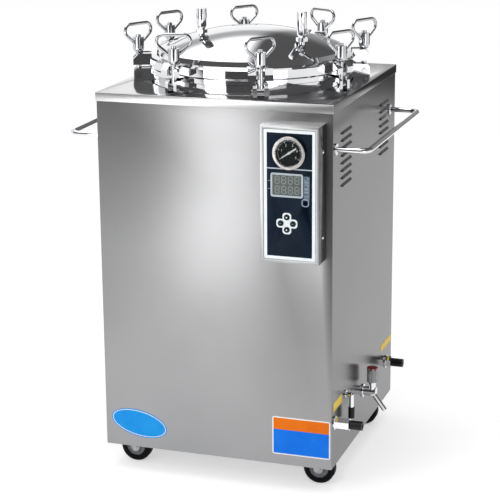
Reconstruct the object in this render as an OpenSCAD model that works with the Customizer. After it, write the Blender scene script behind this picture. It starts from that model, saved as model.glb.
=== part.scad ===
// Upright pressure steam autoclave on casters, closed, with its lid held down by eight swing bolts.
// Millimetres, +Z up. The front faces -Y and the floor is z = 0.

/* [Cabinet] */
// Width of the top cover, the widest sheet
cab_w = 560; // [540:10:620]
// Depth of the top cover
cab_d = 560; // [540:10:620]
// Height from the panels' lower edge to the top of the cover
cab_h = 848; // [830:1:930]
// Thickness of the sheet steel
sheet = 1.5; // [1:0.1:2]
// Height of the folded edge of the top cover
skirt_h = 20; // [14:1:30]
// Gap between the cover's folded edge and the panels
cover_fit = 0.5; // [0.3:0.1:1]
// Width of the hem folded in along the panels' lower edge
hem_w = 12; // [8:1:14]
// Height of the panels' lower edge above the floor
floor_gap = 64; // [62:1:77]
// Height of the upturned edge of the floor pan
pan_h = 30; // [20:1:50]

/* [Louvres] */
// Number of louvres in each column
louvre_rows = 8; // [3:1:10]
// Length of one louvre
louvre_len = 70; // [50:1:90]
// Distance from louvre to louvre
louvre_pitch = 17; // [13.5:0.5:20.5]
// Height of one louvre's opening
louvre_gap = 4; // [3:0.5:6]
// How far the louvre's hood stands out
louvre_out = 4; // [2:0.5:6]
// Distance from the cabinet's middle to each column's middle
louvre_y = 170; // [150:5:190]
// Depth of the top louvre below the top of the cover
louvre_drop = 74.5; // [62:0.5:93]

/* [Pressure vessel] */
// Inner radius of the chamber
chamber_r = 200; // [190:1:205]
// Straight depth of the chamber below its mouth
chamber_depth = 600; // [560:5:610]
// Depth of the dished bottom
dish_depth = 60; // [45:1:70]
// Wall of the vessel
vessel_wall = 3; // [2:0.5:5]
// Height of the chamber's mouth above the cover
mouth_up = 35; // [31:1:38]
// Outer radius of the band below the rim
band_r = 236; // [232:1:240]
// Outer radius of the rim
rim_r = 241; // [238:1:246]
// Thickness of the rim
rim_t = 12.5; // [8:0.5:16]
// Gap between the neck band and the hole in the cover
neck_gap = 2; // [1:0.5:5]
// Share of the gap between vessel and panels that the insulation fills
insulation_share = 0.383; // [0.25:0.001:0.5]

/* [Lid] */
// Outer radius of the lid's ring
lid_r = 243; // [240:1:248]
// Height of the lid's ring
lid_ring_h = 23; // [19:1:27]
// Gap that the gasket fills between rim and lid
lid_gap = 2; // [1:0.5:3]
// Radius of the dome where it meets the ring
dome_r = 220; // [216:1:224]
// Height of the dome's edge above the cover
dome_edge_up = 72.5; // [68.5:0.5:76.5]
// Height of the dome above its edge
dome_h = 49.5; // [41:0.5:62]
// Wall of the dome
dome_wall = 3; // [2:0.5:5]

/* [Swing bolts] */
// Radius of the circle that the bolts stand on
bolt_pcd_r = 265; // [262:1:268]
// Radius of a bolt's rod
rod_r = 6; // [5:0.5:6.5]
// Height of the pivot pins above the cover
pivot_up = 13.5; // [12.5:0.5:15.5]
// Height of the rod's end above the cover
rod_up = 107.5; // [105.5:0.5:111.5]
// Radius of the eye at the rod's foot
eye_r = 10; // [9:0.5:11]
// Width of the eye
eye_w = 16; // [14:1:18]
// Radius of a pivot pin
pin_r = 5; // [4:0.5:5]
// Running clearance of pins, rods and axles, on the radius
run_fit = 0.06; // [0.03:0.01:0.1]
// Side gap of an eye in its lug
eye_gap = 0.3; // [0.2:0.1:1]
// Thickness of one cheek of a vessel lug
cheek_t = 9; // [7:1:11]
// Height of a vessel lug
lug_h = 30; // [28:1:31]
// How far a vessel lug reaches past the bolt circle
lug_out = 12; // [11:1:14]

/* [Lid lugs] */
// Slot between the two cheeks of a lid lug
lid_slot = 20; // [18:0.5:21]
// Thickness of one cheek of a lid lug
lid_cheek_t = 18; // [12:1:20]
// Height of a lid lug
lid_lug_h = 26; // [21:1:27]
// Height of a lid lug's foot above the cover
lid_lug_up = 40; // [39:1:43]
// How far a lid lug reaches past the bolt circle
lid_lug_out = 13; // [8:1:14]

/* [Ring nuts] */
// Radius of the nut's round body
nut_r = 13; // [12:0.5:13.5]
// Height of the nut's top above the cover
nut_up = 101.5; // [97.5:0.5:103.5]
// Free height between nut and lid lug
nut_gap = 2; // [1.5:0.1:3]
// Radius of the ring's wire
wire_r = 3.8; // [3:0.1:4.5]
// Half width of the ring, at the wire's middle
ring_half = 38; // [32:1:40]
// Height of the ring's top bar above the nut, at the wire's middle
ring_rise = 31; // [27:1:35]
// Radius of the ring's upper corners, at the wire's middle
ring_corner = 15; // [10:1:16]
// Depth below the nut's top at which the ring's arms leave the nut
ring_root = 14; // [6:1:15]

/* [Control box] */
// Width of the control box
box_w = 134; // [128:1:150]
// Height of the control box
box_h = 307; // [300:1:330]
// Depth of the control box in front of the cover
box_d = 55; // [45:1:70]
// Distance from the cover's right edge to the box's middle
box_inset = 84; // [80:1:90]
// Distance from the top of the cover down to the box's middle
box_drop = 193.5; // [185:0.5:225]
// Width of the steel lip around the fascia
lip = 8; // [5:0.5:10]
// Thickness of the fascia plate
fascia_t = 3; // [2:0.5:4]
// How far the fascia lies behind the lip
fascia_in = 0.5; // [0:0.1:1]

/* [Pressure gauge] */
// Radius of the gauge's bezel
bezel_r = 37; // [34:0.5:38]
// How far the bezel stands in front of the box
bezel_out = 8; // [6:0.5:12]
// Radius of the gauge's case behind the fascia
case_r = 30; // [28:0.5:32]
// Depth of the case behind the fascia
case_depth = 26; // [20:1:34]
// Distance from the top of the box down to the gauge's centre, as a share of the box's height
gauge_share = 0.1906; // [0.18:0.0002:0.2]
// Length of the needle from its pivot to its tip
needle_len = 24; // [18:1:26]
// Angle of the zero mark below the dial's left-hand side
needle_zero = 34; // [30:1:50]

/* [Display and buttons] */
// Width of the display window
disp_w = 66; // [60:1:70]
// Height of the display window
disp_h = 45.5; // [40:0.5:48]
// Offset of the display's middle from the box's middle
disp_x = -6; // [-8:1:-2]
// Height of the display's middle above the box's middle, as a share of the box's height
disp_share = 0.0733; // [0.06:0.0001:0.08]
// Radius of a button
button_r = 6; // [5:0.25:6.5]
// Distance from the middle of the four buttons to each one
button_pitch = 14; // [13.5:0.25:16]
// Depth of the buttons' middle below the box's middle, as a share of the box's height
button_share = 0.2052; // [0.19:0.0002:0.23]
// How far a button stands in front of the fascia
button_out = 3; // [2.5:0.1:4]

/* [Side handles] */
// Radius of the handle's bar
bar_r = 6; // [5:0.5:8]
// Distance from the panel to the bar's middle
handle_out = 74; // [60:1:85]
// Front end of the handle, measured from the cabinet's middle
handle_front = 262; // [240:1:264]
// Rear end of the handle, measured from the cabinet's middle
handle_rear = 218; // [180:1:240]
// Height of the handle below the top of the cover
handle_drop = 101; // [93:1:165]
// Radius of the handle's bends, at the bar's middle
handle_bend = 22; // [16:1:30]
// Radius of the round plates at the handle's ends
rosette_r = 13; // [10:0.5:14]
// Thickness of the round plates
rosette_t = 4; // [3:0.5:6]

/* [Side fittings] */
// Radius of a hose tail's end
tail_r = 10.5; // [8:0.5:12]
// Length of a hose tail's end
tail_len = 30; // [25:1:40]
// Height of the exhaust tail above the panels' lower edge
exhaust_up = 97; // [88:1:108]
// Distance from the cover's rear edge to the exhaust tail
exhaust_inset = 61; // [50:1:80]
// Height of the drain tail above the panels' lower edge
drain_up = 107.5; // [93:0.5:124]
// Distance from the cover's front edge to the drain tail
drain_inset = 24; // [22:1:35]
// Height of the drain valve above the panels' lower edge
valve_up = 98; // [88:1:113]
// Distance of the drain valve in front of the cabinet's middle
valve_y = 5; // [-20:1:40]
// Height of the bent fitting above the panels' lower edge
elbow_up = 145; // [130:1:155]
// Distance from the cover's front edge to the bent fitting
elbow_inset = 115; // [90:1:140]
// Radius of the valve's knob
knob_r = 13; // [10:0.5:16]
// Height of the valve's knob
knob_h = 36; // [28:1:42]

/* [Casters] */
// Radius of a wheel
wheel_r = 37.5; // [35:0.5:38]
// Width of a wheel
wheel_w = 25; // [20:1:28]
// Distance from the swivel axis to the axle, level
trail = 18; // [14:1:22]
// Distance from the cover's side edges to the swivel axes
caster_side = 68; // [66:1:80]
// Distance from the cover's front edge to the front swivel axes
caster_fore = 75; // [70:1:90]
// Distance from the cover's rear edge to the rear swivel axes
caster_aft = 90; // [70:1:100]
// Height of the casters' mounting plates above the floor
caster_h = 100; // [98:1:104]
// Radius of an axle
axle_r = 4; // [3:0.5:5]

/* [Lid valves] */
// Radius of a lid valve's body
valve_r = 11; // [9:0.5:13]
// Height of the lid valves' tops above the cover
valve_top_up = 169.5; // [163:0.5:176]
// Distance of the vent valve from the lid's middle
vent_r = 160; // [150:1:170]
// Direction of the vent valve, seen from above
vent_turn = -26; // [-40:1:-10]
// Distance of the safety valve from the lid's middle
safety_r = 122; // [110:1:135]
// Direction of the safety valve, seen from above
safety_turn = 217; // [200:1:230]

/* [Hidden] */
$fn = 96;
small_fn = 48;
hole_fn = 16;
over = 1;
touch = 0.3;

// Levels and faces that several pieces share
cab_top = floor_gap + cab_h;
cover_under = cab_top - sheet;
panel_x = cab_w/2 - sheet - cover_fit;
panel_y = cab_d/2 - sheet - cover_fit;
panel_top = cover_under - touch;
mouth_z = cab_top + mouth_up;
vessel_r = chamber_r + vessel_wall;
straight_low = mouth_z - chamber_depth;
vessel_low = straight_low - dish_depth - vessel_wall;
pan_z = caster_h;
cover_hole_r = band_r + neck_gap;
box_x = cab_w/2 - box_inset;
gauge_drop = gauge_share*box_h;
disp_up = disp_share*box_h;
button_up = -button_share*box_h;
exhaust_y = cab_d/2 - exhaust_inset;
drain_y = cab_d/2 - drain_inset;
elbow_y = cab_d/2 - elbow_inset;
caster_x = cab_w/2 - caster_side;
caster_front = cab_d/2 - caster_fore;
caster_rear = cab_d/2 - caster_aft;

// The whole object's box is centred on the origin, so the cabinet stands a little behind it
gland_out = 16;
front_reach = cab_d/2 + box_d + bezel_out;
rear_reach = panel_y + gland_out;
cab_shift = (front_reach - rear_reach)/2;
module place() { translate([0, cab_shift, 0]) children(); }

// Colours
steel = "#b9bcc0";
bright = "#d9dce0";
dark_steel = "#84888c";
rubber = "#1c1c1e";
navy = "#111a3c";

// Eight bolt stations, the first at the front right, counted anticlockwise seen from above
bolt_count = 8;
function bolt_turn(i) = -360/bolt_count/2 + 360/bolt_count*(i - 1);
module station(i) { rotate([0, 0, bolt_turn(i)]) children(); }

// A tube or rod from one point to the next, and one through points with a ball at each inner bend
module rod(from, to, r) {
    d = to - from;
    run = norm(d);
    translate(from) rotate([0, acos(d[2]/run), atan2(d[1], d[0])]) cylinder(r = r, h = run, $fn = small_fn);
}
module rod_path(pts, r) {
    for (i = [0:len(pts) - 2]) {
        rod(pts[i], pts[i + 1], r);
        if (i > 0) translate(pts[i]) sphere(r = r + touch, $fn = small_fn);
    }
}

// Sheet panels
module panel_sheet(w, h) { translate([-w/2, 0, 0]) cube([w, sheet, h]); }

module louvre_cuts() {
    for (s = [-1, 1]) for (k = [0:louvre_rows - 1])
        translate([s*louvre_y - louvre_len/2, -over, cab_top - louvre_drop - k*louvre_pitch - louvre_gap])
            cube([louvre_len, sheet + 2*over, louvre_gap]);
}

module louvre_hoods() {
    for (s = [-1, 1]) for (k = [0:louvre_rows - 1])
        translate([s*louvre_y - louvre_len/2 - sheet, 0, cab_top - louvre_drop - k*louvre_pitch])
            difference() {
                rotate([90, 0, 90]) linear_extrude(louvre_len + 2*sheet)
                    polygon([[sheet, 2*sheet], [0, 2*sheet], [-louvre_out, -louvre_gap + sheet],
                             [-louvre_out, -louvre_gap], [sheet, -louvre_gap]]);
                translate([sheet, 0, 0]) rotate([90, 0, 90]) linear_extrude(louvre_len)
                    polygon([[sheet + over, 0], [0, sheet/2], [-louvre_out + sheet, -louvre_gap],
                             [-louvre_out + sheet, -louvre_gap - over], [sheet + over, -louvre_gap - over]]);
            }
}

panel_h = panel_top - floor_gap;
wire_hole_w = box_w - 4*lip;
wire_hole_h = box_h - 8*lip;
box_z = cab_top - box_drop;
box_low = box_z - box_h/2;

module front_panel() { color(steel) place() {
    difference() {
        translate([0, -panel_y, floor_gap]) panel_sheet(2*panel_x, panel_h);
        translate([box_x - wire_hole_w/2, -panel_y - over, box_z - wire_hole_h/2])
            cube([wire_hole_w, sheet + 2*over, wire_hole_h]);
    }
    translate([-panel_x + hem_w + sheet, -panel_y + sheet, floor_gap])
        cube([2*(panel_x - hem_w - sheet), hem_w, sheet]);
} }

side_len = 2*(panel_y - sheet);
module side_sheet() {
    difference() {
        union() {
            translate([0, 0, floor_gap]) panel_sheet(side_len, panel_h);
            translate([-side_len/2, sheet, floor_gap]) cube([side_len, hem_w, sheet]);
        }
        louvre_cuts();
        children();
    }
    louvre_hoods();
}

// Holes for the fittings in the right-hand panel, at [distance from the middle, height, radius]
pipe_r = 8;
exhaust_z = floor_gap + exhaust_up;
drain_z = floor_gap + drain_up;
valve_z = floor_gap + valve_up;
elbow_z = floor_gap + elbow_up;
pipe_hole_r = pipe_r + over;
fitting_holes = [[exhaust_y, exhaust_z], [-drain_y, drain_z], [-valve_y, valve_z], [-elbow_y, elbow_z]];

module right_side_panel() { color(steel) place()
    translate([panel_x, 0, 0]) rotate([0, 0, 90]) side_sheet()
        for (f = fitting_holes) translate([f[0], -over, f[1]]) rotate([-90, 0, 0])
            cylinder(r = pipe_hole_r, h = sheet + 2*over, $fn = small_fn);
}

module left_side_panel() { color(steel) place()
    translate([-panel_x, 0, 0]) rotate([0, 0, -90]) side_sheet();
}

gland_x = 180;
gland_z = floor_gap + exhaust_up + pan_h;
gland_r = 10;
module rear_panel() { color(steel) place() difference() {
    union() {
        translate([0, panel_y - sheet, floor_gap]) panel_sheet(2*panel_x, panel_h);
        translate([-panel_x + hem_w + sheet, panel_y - sheet - hem_w, floor_gap])
            cube([2*(panel_x - hem_w - sheet), hem_w, sheet]);
    }
    translate([gland_x, panel_y + over, gland_z]) rotate([90, 0, 0])
        cylinder(r = gland_r + touch, h = sheet + 2*over, $fn = small_fn);
} }

module top_cover() { color(steel) place() difference() {
    translate([-cab_w/2, -cab_d/2, cab_top - skirt_h]) cube([cab_w, cab_d, skirt_h]);
    translate([-cab_w/2 + sheet, -cab_d/2 + sheet, cab_top - skirt_h - over])
        cube([cab_w - 2*sheet, cab_d - 2*sheet, skirt_h + over - sheet]);
    translate([0, 0, cover_under - over]) cylinder(r = cover_hole_r, h = sheet + 2*over);
} }

// Floor pan with the vessel's three welded legs
pan_x = panel_x - sheet - touch;
pan_y = panel_y - sheet - touch;
leg_w = 40;
leg_t = 5;
leg_count = 3;
leg_ring_r = vessel_r + touch;
leg_up = straight_low + leg_w;
module floor_pan() { color(dark_steel) place() {
    difference() {
        translate([-pan_x, -pan_y, pan_z]) cube([2*pan_x, 2*pan_y, pan_h]);
        translate([-pan_x + sheet, -pan_y + sheet, pan_z + 2*sheet])
            cube([2*(pan_x - sheet), 2*(pan_y - sheet), pan_h]);
    }
    for (k = [0:leg_count - 1]) rotate([0, 0, 90 + k*360/leg_count])
        translate([leg_ring_r, -leg_w/2, pan_z + sheet]) cube([leg_t, leg_w, leg_up - pan_z - sheet]);
} }

// Chamber: a cylinder with a dished bottom, drawn as one turned outline
dish_steps = 8;
dish_bend = 90/dish_steps;
function dish(r, depth, low) = [for (k = [0:dish_steps]) [r*sin(k*dish_bend), low - depth*cos(k*dish_bend)]];
port_r = 8;
heater_ring_rs = [70, 120, 165];
module pressure_vessel() { color(bright) place() difference() {
    rotate_extrude() polygon(concat(
        [[0, straight_low - dish_depth - vessel_wall]],
        [for (p = dish(vessel_r, dish_depth + vessel_wall, straight_low)) if (p[0] > 0) p],
        [[vessel_r, mouth_z], [chamber_r, mouth_z]],
        [for (k = [dish_steps:-1:0]) dish(chamber_r, dish_depth, straight_low)[k]]));
    translate([0, 0, vessel_low - over]) cylinder(r = port_r, h = vessel_wall + 2*over, $fn = small_fn);
    for (p = lead_places) translate([p[0], p[1], vessel_low - over])
        cylinder(r = lead_r + touch, h = dish_depth + vessel_wall + 2*over, $fn = small_fn);
    translate([0, 0, steam_z]) rotate([0, 90, steam_turn])
        cylinder(r = line_r, h = vessel_r + over, $fn = small_fn);
    translate([0, 0, gauge_z]) rotate([90, 0, 0])
        cylinder(r = line_r, h = vessel_r + over, $fn = small_fn);
} }

// Rim: a turned ring with a band below it, and a pair of cheeks at each bolt
rim_in = vessel_r + touch;
band_low = cover_under - lug_h/2;
lug_low = cab_top + touch;
lug_in = band_r - cheek_t;
module rim_flange() { color(bright) place() {
    difference() {
        rotate_extrude() polygon([
            [rim_in, mouth_z - rim_t], [band_r - cheek_t/2, mouth_z - rim_t], [band_r - cheek_t/2, band_low],
            [band_r, band_low], [band_r, mouth_z - rim_t], [rim_r - over, mouth_z - rim_t],
            [rim_r, mouth_z - rim_t + over], [rim_r, mouth_z - over], [rim_r - over, mouth_z],
            [rim_in, mouth_z]]);
        for (i = [1:bolt_count]) station(i) translate([band_r + touch, -eye_w/2 - eye_gap, lug_low - over])
            cube([bolt_pcd_r, eye_w + 2*eye_gap, mouth_z]);
    }
    for (i = [1:bolt_count]) station(i) for (s = [-1, 1]) difference() {
        translate([lug_in + cheek_t/2 + over, s*(eye_w/2 + eye_gap + cheek_t/2) - cheek_t/2, lug_low])
            cube([bolt_pcd_r + lug_out - lug_in - cheek_t/2 - over, cheek_t, lug_h]);
        translate([bolt_pcd_r, s*(eye_w/2 + eye_gap + cheek_t/2), cab_top + pivot_up]) rotate([90, 0, 0])
            cylinder(r = pin_r + run_fit, h = cheek_t + 2*over, center = true);
        // The outer upper corner is cut away at an angle
        translate([bolt_pcd_r + lug_out, s*(eye_w/2 + eye_gap + cheek_t/2), lug_low + lug_h])
            rotate([0, 45, 0]) cube([cheek_t, cheek_t + 2*over, cheek_t], center = true);
    }
} }

pin_head_r = 7.5;
pin_head_t = 3;
pin_half = eye_w/2 + eye_gap + cheek_t + touch;
module lug_pins() { color(bright) place()
    for (i = [1:bolt_count]) station(i) translate([bolt_pcd_r, 0, cab_top + pivot_up]) rotate([90, 0, 0]) {
        cylinder(r = pin_r, h = 2*pin_half, center = true);
        for (s = [-1, 1]) translate([0, 0, s*(pin_half + pin_head_t/2)])
            cylinder(r = pin_head_r, h = pin_head_t, center = true);
    }
}

// Swing bolt: an eye round the pivot pin and a straight rod with a rounded end
rod_end_r = rod_r - over;
module swing_bolt(i) { color(bright) place() station(i)
    translate([bolt_pcd_r, 0, cab_top + pivot_up]) difference() {
        union() {
            rotate([90, 0, 0]) cylinder(r = eye_r, h = eye_w, center = true);
            cylinder(r = rod_r, h = rod_up - pivot_up - over);
            translate([0, 0, rod_up - pivot_up - over]) cylinder(r = rod_end_r, h = over);
        }
        rotate([90, 0, 0]) cylinder(r = pin_r + run_fit, h = eye_w + 2*over, center = true);
    }
}

// Ring nut: a round body with a ball-shaped seat, and a bent ring to turn it by.
// The seat's centre is where a ball of the nut's radius rests on the lug's slot, raised by the gap.
lid_lug_top = lid_lug_up + lid_lug_h;
seat_up = lid_lug_top + sqrt(nut_r*nut_r - lid_slot*lid_slot/4) + nut_gap;
ring_cx = ring_half - ring_corner;
ring_cz = ring_rise - ring_corner;
ring_foot = [nut_r - wire_r + over, -ring_root];
ring_dx = ring_cx - ring_foot[0];
ring_dz = ring_cz - ring_foot[1];
ring_reach = sqrt(ring_dx*ring_dx + ring_dz*ring_dz);
ring_arm = sqrt(ring_reach*ring_reach - ring_corner*ring_corner);
ring_slope = atan2(ring_dz, ring_dx) - asin(ring_corner/ring_reach);
// Turn of each ring about its bolt, seen from above, from the cabinet's width
function ring_turn(i) = [59, 61, -28, 52, 60, 61, 19, 53][i - 1];
// The bends are a little thinner than the straights, whose ends they reach into
bend_r = wire_r - touch/3;
bend_over = 4;
module ring_loop() {
    for (s = [0, 1]) mirror([s, 0, 0]) {
        translate([ring_foot[0], 0, ring_foot[1]]) rotate([0, 90 - ring_slope, 0])
            cylinder(r = wire_r, h = ring_arm, $fn = small_fn);
        translate([ring_cx, 0, ring_cz]) rotate([90, 0, 0]) rotate([0, 0, ring_slope - 90 - bend_over])
            rotate_extrude(angle = 180 - ring_slope + 2*bend_over)
                translate([ring_corner, 0]) circle(r = bend_r, $fn = small_fn);
    }
    translate([-ring_cx, 0, ring_rise]) rotate([0, 90, 0])
        cylinder(r = wire_r, h = 2*ring_cx, $fn = small_fn);
}
module ring_nut(i) { color(bright) place() station(i)
    translate([bolt_pcd_r, 0, cab_top]) difference() {
        union() {
            translate([0, 0, seat_up]) sphere(r = nut_r);
            translate([0, 0, seat_up]) cylinder(r = nut_r, h = nut_up - seat_up);
            translate([0, 0, nut_up]) rotate([0, 0, ring_turn(i) - bolt_turn(i)]) ring_loop();
        }
        translate([0, 0, seat_up - nut_r - over])
            cylinder(r = rod_r + run_fit, h = nut_up - seat_up + nut_r + 2*over);
    }
}

// Lid: ring, dome and lugs in one welded piece
lid_low = mouth_up + lid_gap;
lid_top = lid_low + lid_ring_h;
ring_edge = 4;
groove_in = chamber_r + ring_edge;
groove_w = 14;
groove_h = 5;
dome_ball = (dome_r*dome_r + dome_h*dome_h)/(2*dome_h);
dome_span = asin(dome_r/dome_ball);
dome_steps = 16;
dome_z = cab_top + dome_edge_up + dome_h - dome_ball;
function dome_arc(ball) = [for (k = [0:dome_steps]) [ball*sin(dome_span*(1 - k/dome_steps)),
                                                     dome_z + ball*cos(dome_span*(1 - k/dome_steps))]];
function dome_height(r) = dome_z + sqrt(dome_ball*dome_ball - r*r);
module lid_turned() {
    rotate_extrude() polygon(concat(
        [[groove_in + groove_w, cab_top + lid_low], [lid_r - over, cab_top + lid_low],
         [lid_r, cab_top + lid_low + over], [lid_r, cab_top + lid_top - ring_edge],
         [lid_r - ring_edge, cab_top + lid_top], [dome_r + ring_edge, cab_top + lid_top + over]],
        [for (p = dome_arc(dome_ball)) if (p[0] > touch) p],
        [[0, dome_z + dome_ball], [0, dome_z + dome_ball - dome_wall]],
        [for (k = [dome_steps:-1:0]) if (dome_arc(dome_ball - dome_wall)[k][0] > touch)
            dome_arc(dome_ball - dome_wall)[k]],
        [[chamber_r + over, cab_top + lid_low + lid_ring_h/2], [chamber_r + over, cab_top + lid_low],
         [groove_in, cab_top + lid_low], [groove_in, cab_top + lid_low + groove_h],
         [groove_in + groove_w, cab_top + lid_low + groove_h]]));
}
valve_places = [[vent_r, vent_turn], [safety_r, safety_turn]];
stub_r = 7;
module lid() { color(bright) place() difference() {
    union() {
        lid_turned();
        for (i = [1:bolt_count]) station(i) for (s = [-1, 1])
            translate([0, s*(lid_slot/2 + lid_cheek_t/2) + lid_cheek_t/2, 0]) rotate([90, 0, 0])
                linear_extrude(lid_cheek_t) polygon([
                    [lid_r - 2*ring_edge, cab_top + lid_lug_up],
                    [bolt_pcd_r + lid_lug_out, cab_top + lid_lug_up],
                    [bolt_pcd_r + lid_lug_out, cab_top + lid_lug_top - lid_lug_out],
                    [bolt_pcd_r, cab_top + lid_lug_top], [lid_r - 2*ring_edge, cab_top + lid_lug_top]]);
    }
    for (v = valve_places) rotate([0, 0, v[1]]) translate([v[0], 0, cab_top + dome_edge_up])
        cylinder(r = stub_r + touch, h = 2*dome_h, $fn = small_fn);
} }

module lid_gasket() { color("#c8503c") place()
    rotate_extrude() polygon([
        [groove_in + touch, mouth_z + touch], [groove_in + groove_w - touch, mouth_z + touch],
        [groove_in + groove_w - touch, cab_top + lid_low + groove_h - touch],
        [groove_in + touch, cab_top + lid_low + groove_h - touch]]);
}

// Lid valves: a stub through the dome, a nut, a body and a spindle
valve_nut_r = 14;
valve_nut_h = 8;
valve_foot = 4;
spindle_r = 4;
spindle_up = 8;
valve_top = cab_top + valve_top_up;
cap_h = 22;
lever_len = 40;
lever_t = 3;
lever_w = 9;
lever_pin_r = 2;
lever_up = 26;
ear_t = 3;
function valve_base(v) = dome_height(v[0]) + valve_foot/2;
module lid_valves() { color("#c9b37a") place() for (k = [0, 1])
    let (v = valve_places[k], base = valve_base(v), top = k == 0 ? valve_top : valve_top - cap_h - touch)
    translate([v[0]*cos(v[1]), v[0]*sin(v[1]), 0]) {
        difference() {
            union() {
                rotate_extrude() polygon([
                    [spindle_r, base - 2*valve_nut_h], [stub_r, base - 2*valve_nut_h],
                    [stub_r, base + valve_foot + valve_nut_h], [valve_r, base + valve_foot + 2*valve_nut_h],
                    [valve_r, top - over], [valve_r - over, top], [0, top],
                    [0, base + valve_nut_h], [spindle_r, base + valve_nut_h]]);
                translate([0, 0, base + valve_foot]) cylinder(r = valve_nut_r, h = valve_nut_h, $fn = 6);
                if (k == 1) translate([0, 0, top - over]) cylinder(r = spindle_r, h = spindle_up + over);
                if (k == 0) for (s = [-1, 1])
                    translate([valve_r - 2*over, s*(lever_w/2 + touch) + (s - 1)/2*ear_t,
                               base + lever_up - lever_w/2])
                        cube([lever_w + 2*over, ear_t, lever_w]);
            }
            translate([0, 0, base - 2*valve_nut_h - over])
                cylinder(r = spindle_r, h = 3*valve_nut_h + over, $fn = small_fn);
            if (k == 0) translate([valve_r + lever_w/2, 0, base + lever_up]) rotate([90, 0, 0])
                cylinder(r = lever_pin_r + run_fit, h = 4*lever_w, center = true, $fn = small_fn);
        }
    }
}

module vent_valve_lever() { color(bright) place() let (v = valve_places[0], base = valve_base(v))
    translate([v[0]*cos(v[1]) + valve_r + lever_w/2, v[0]*sin(v[1]), base + lever_up]) {
        rotate([90, 0, 0]) cylinder(r = lever_w/2 - touch, h = lever_w, center = true);
        rotate([90, 0, 0]) cylinder(r = lever_pin_r, h = lever_w + 2*ear_t, center = true);
        translate([0, -lever_w/2, -lever_t/2]) cube([lever_len, lever_w, lever_t]);
        translate([lever_len, 0, -lever_t/2]) cylinder(r = lever_w/2, h = lever_t);
    }
}

cap_grip_count = 12;
module safety_valve_cap() { color("#c9b37a") place() let (v = valve_places[1])
    rotate([0, 0, v[1]]) translate([v[0], 0, valve_top - cap_h]) difference() {
        cylinder(r = valve_r + over, h = cap_h);
        translate([0, 0, -over]) cylinder(r = spindle_r + run_fit, h = spindle_up + 2*over);
        for (k = [0:cap_grip_count - 1]) rotate([0, 0, k*360/cap_grip_count])
            translate([valve_r + over + lever_pin_r/2, 0, cap_h/2])
                cylinder(r = lever_pin_r, h = cap_h, $fn = small_fn/2);
    }
}

// Insulation, heaters, grid and basket
jacket_in = vessel_r + leg_t + 2*touch;
wall_in = min(panel_x, panel_y) - sheet;
jacket_out = jacket_in + insulation_share*(wall_in - jacket_in);
jacket_low = leg_up + touch;
jacket_high = band_low - leg_t;
module insulation_jacket() { color("#e8e2c8") place() difference() {
    translate([0, 0, jacket_low]) cylinder(r = jacket_out, h = jacket_high - jacket_low);
    translate([0, 0, jacket_low - over]) cylinder(r = jacket_in, h = jacket_high - jacket_low + 2*over);
    translate([0, 0, steam_z]) rotate([0, 90, steam_turn])
        cylinder(r = line_r + 2*over, h = jacket_out + over, $fn = small_fn);
    translate([0, 0, gauge_z]) rotate([90, 0, 0])
        cylinder(r = line_r + 2*over, h = jacket_out + over, $fn = small_fn);
} }

heater_r = 5;
heater_drop = 12;
heater_z = straight_low - heater_drop;
heater_gap_turn = 30;
lead_len = 34;
lead_low = vessel_low - lead_len;
lead_r = heater_r + over/2;
lead_places = [for (r = [heater_ring_rs[0], heater_ring_rs[1]]) for (s = [-1, 1])
    [r*cos(90 + s*heater_gap_turn/2), r*sin(90 + s*heater_gap_turn/2)]];
module heating_elements() { color(dark_steel) place() {
    for (r = [heater_ring_rs[0], heater_ring_rs[1]]) translate([0, 0, heater_z])
        rotate([0, 0, 90 + heater_gap_turn/2])
            rotate_extrude(angle = 360 - heater_gap_turn, $fn = 60) translate([r, 0])
                circle(r = heater_r, $fn = 36);
    for (p = lead_places) translate([p[0], p[1], lead_low])
        cylinder(r = lead_r, h = heater_z + lead_r - lead_low, $fn = small_fn);
} }

// A slotted plate on three feet that keeps the basket off the heaters
grid_gap = 6;
grid_r = chamber_r - grid_gap;
grid_up = 18;
grid_z = straight_low + grid_up;
grid_t = 2;
grid_hole_r = 6;
grid_rings = 4;
grid_foot_r = 5;
grid_foot_out = (grid_r - grid_foot_r)/chamber_r;
grid_foot_z = straight_low - dish_depth*sqrt(1 - grid_foot_out*grid_foot_out) + over;
function grid_ring(k) = grid_r*k/(grid_rings + 1);
module heater_grid() { color(steel) place() {
    difference() {
        translate([0, 0, grid_z]) cylinder(r = grid_r, h = grid_t);
        for (k = [1:grid_rings]) for (j = [0:6*k - 1]) rotate([0, 0, j*60/k])
            translate([grid_ring(k), 0, grid_z - over])
                cylinder(r = grid_hole_r, h = grid_t + 2*over, $fn = hole_fn);
    }
    for (k = [0:2]) rotate([0, 0, 30 + k*120]) translate([grid_r - 2*grid_foot_r, 0, grid_foot_z])
        cylinder(r = grid_foot_r, h = grid_z - grid_foot_z + grid_t/2, $fn = small_fn);
} }

basket_r = 186;
basket_h = 520;
basket_t = 1.5;
basket_low = grid_z + grid_t + touch;
basket_hole_r = 9;
basket_hole_cols = 16;
basket_hole_rows = 5;
rim_lip = 6;
module sterilizing_basket() { color(bright) place() {
    difference() {
        translate([0, 0, basket_low]) cylinder(r = basket_r, h = basket_h);
        translate([0, 0, basket_low + basket_t]) cylinder(r = basket_r - basket_t, h = basket_h);
        for (k = [0:basket_hole_cols - 1]) for (j = [1:basket_hole_rows])
            rotate([0, 0, k*360/basket_hole_cols])
                translate([basket_r - 2*basket_hole_r, 0, basket_low + basket_h*j/(basket_hole_rows + 1)])
                    rotate([0, 90, 0]) cylinder(r = basket_hole_r, h = 3*basket_hole_r, $fn = hole_fn);
    }
    // A flat rim all round to lift the basket by
    translate([0, 0, basket_low + basket_h - basket_t]) difference() {
        cylinder(r = basket_r + rim_lip, h = 2*basket_t);
        translate([0, 0, -over]) cylinder(r = basket_r - basket_t, h = 2*basket_t + 2*over);
    }
} }

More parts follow.
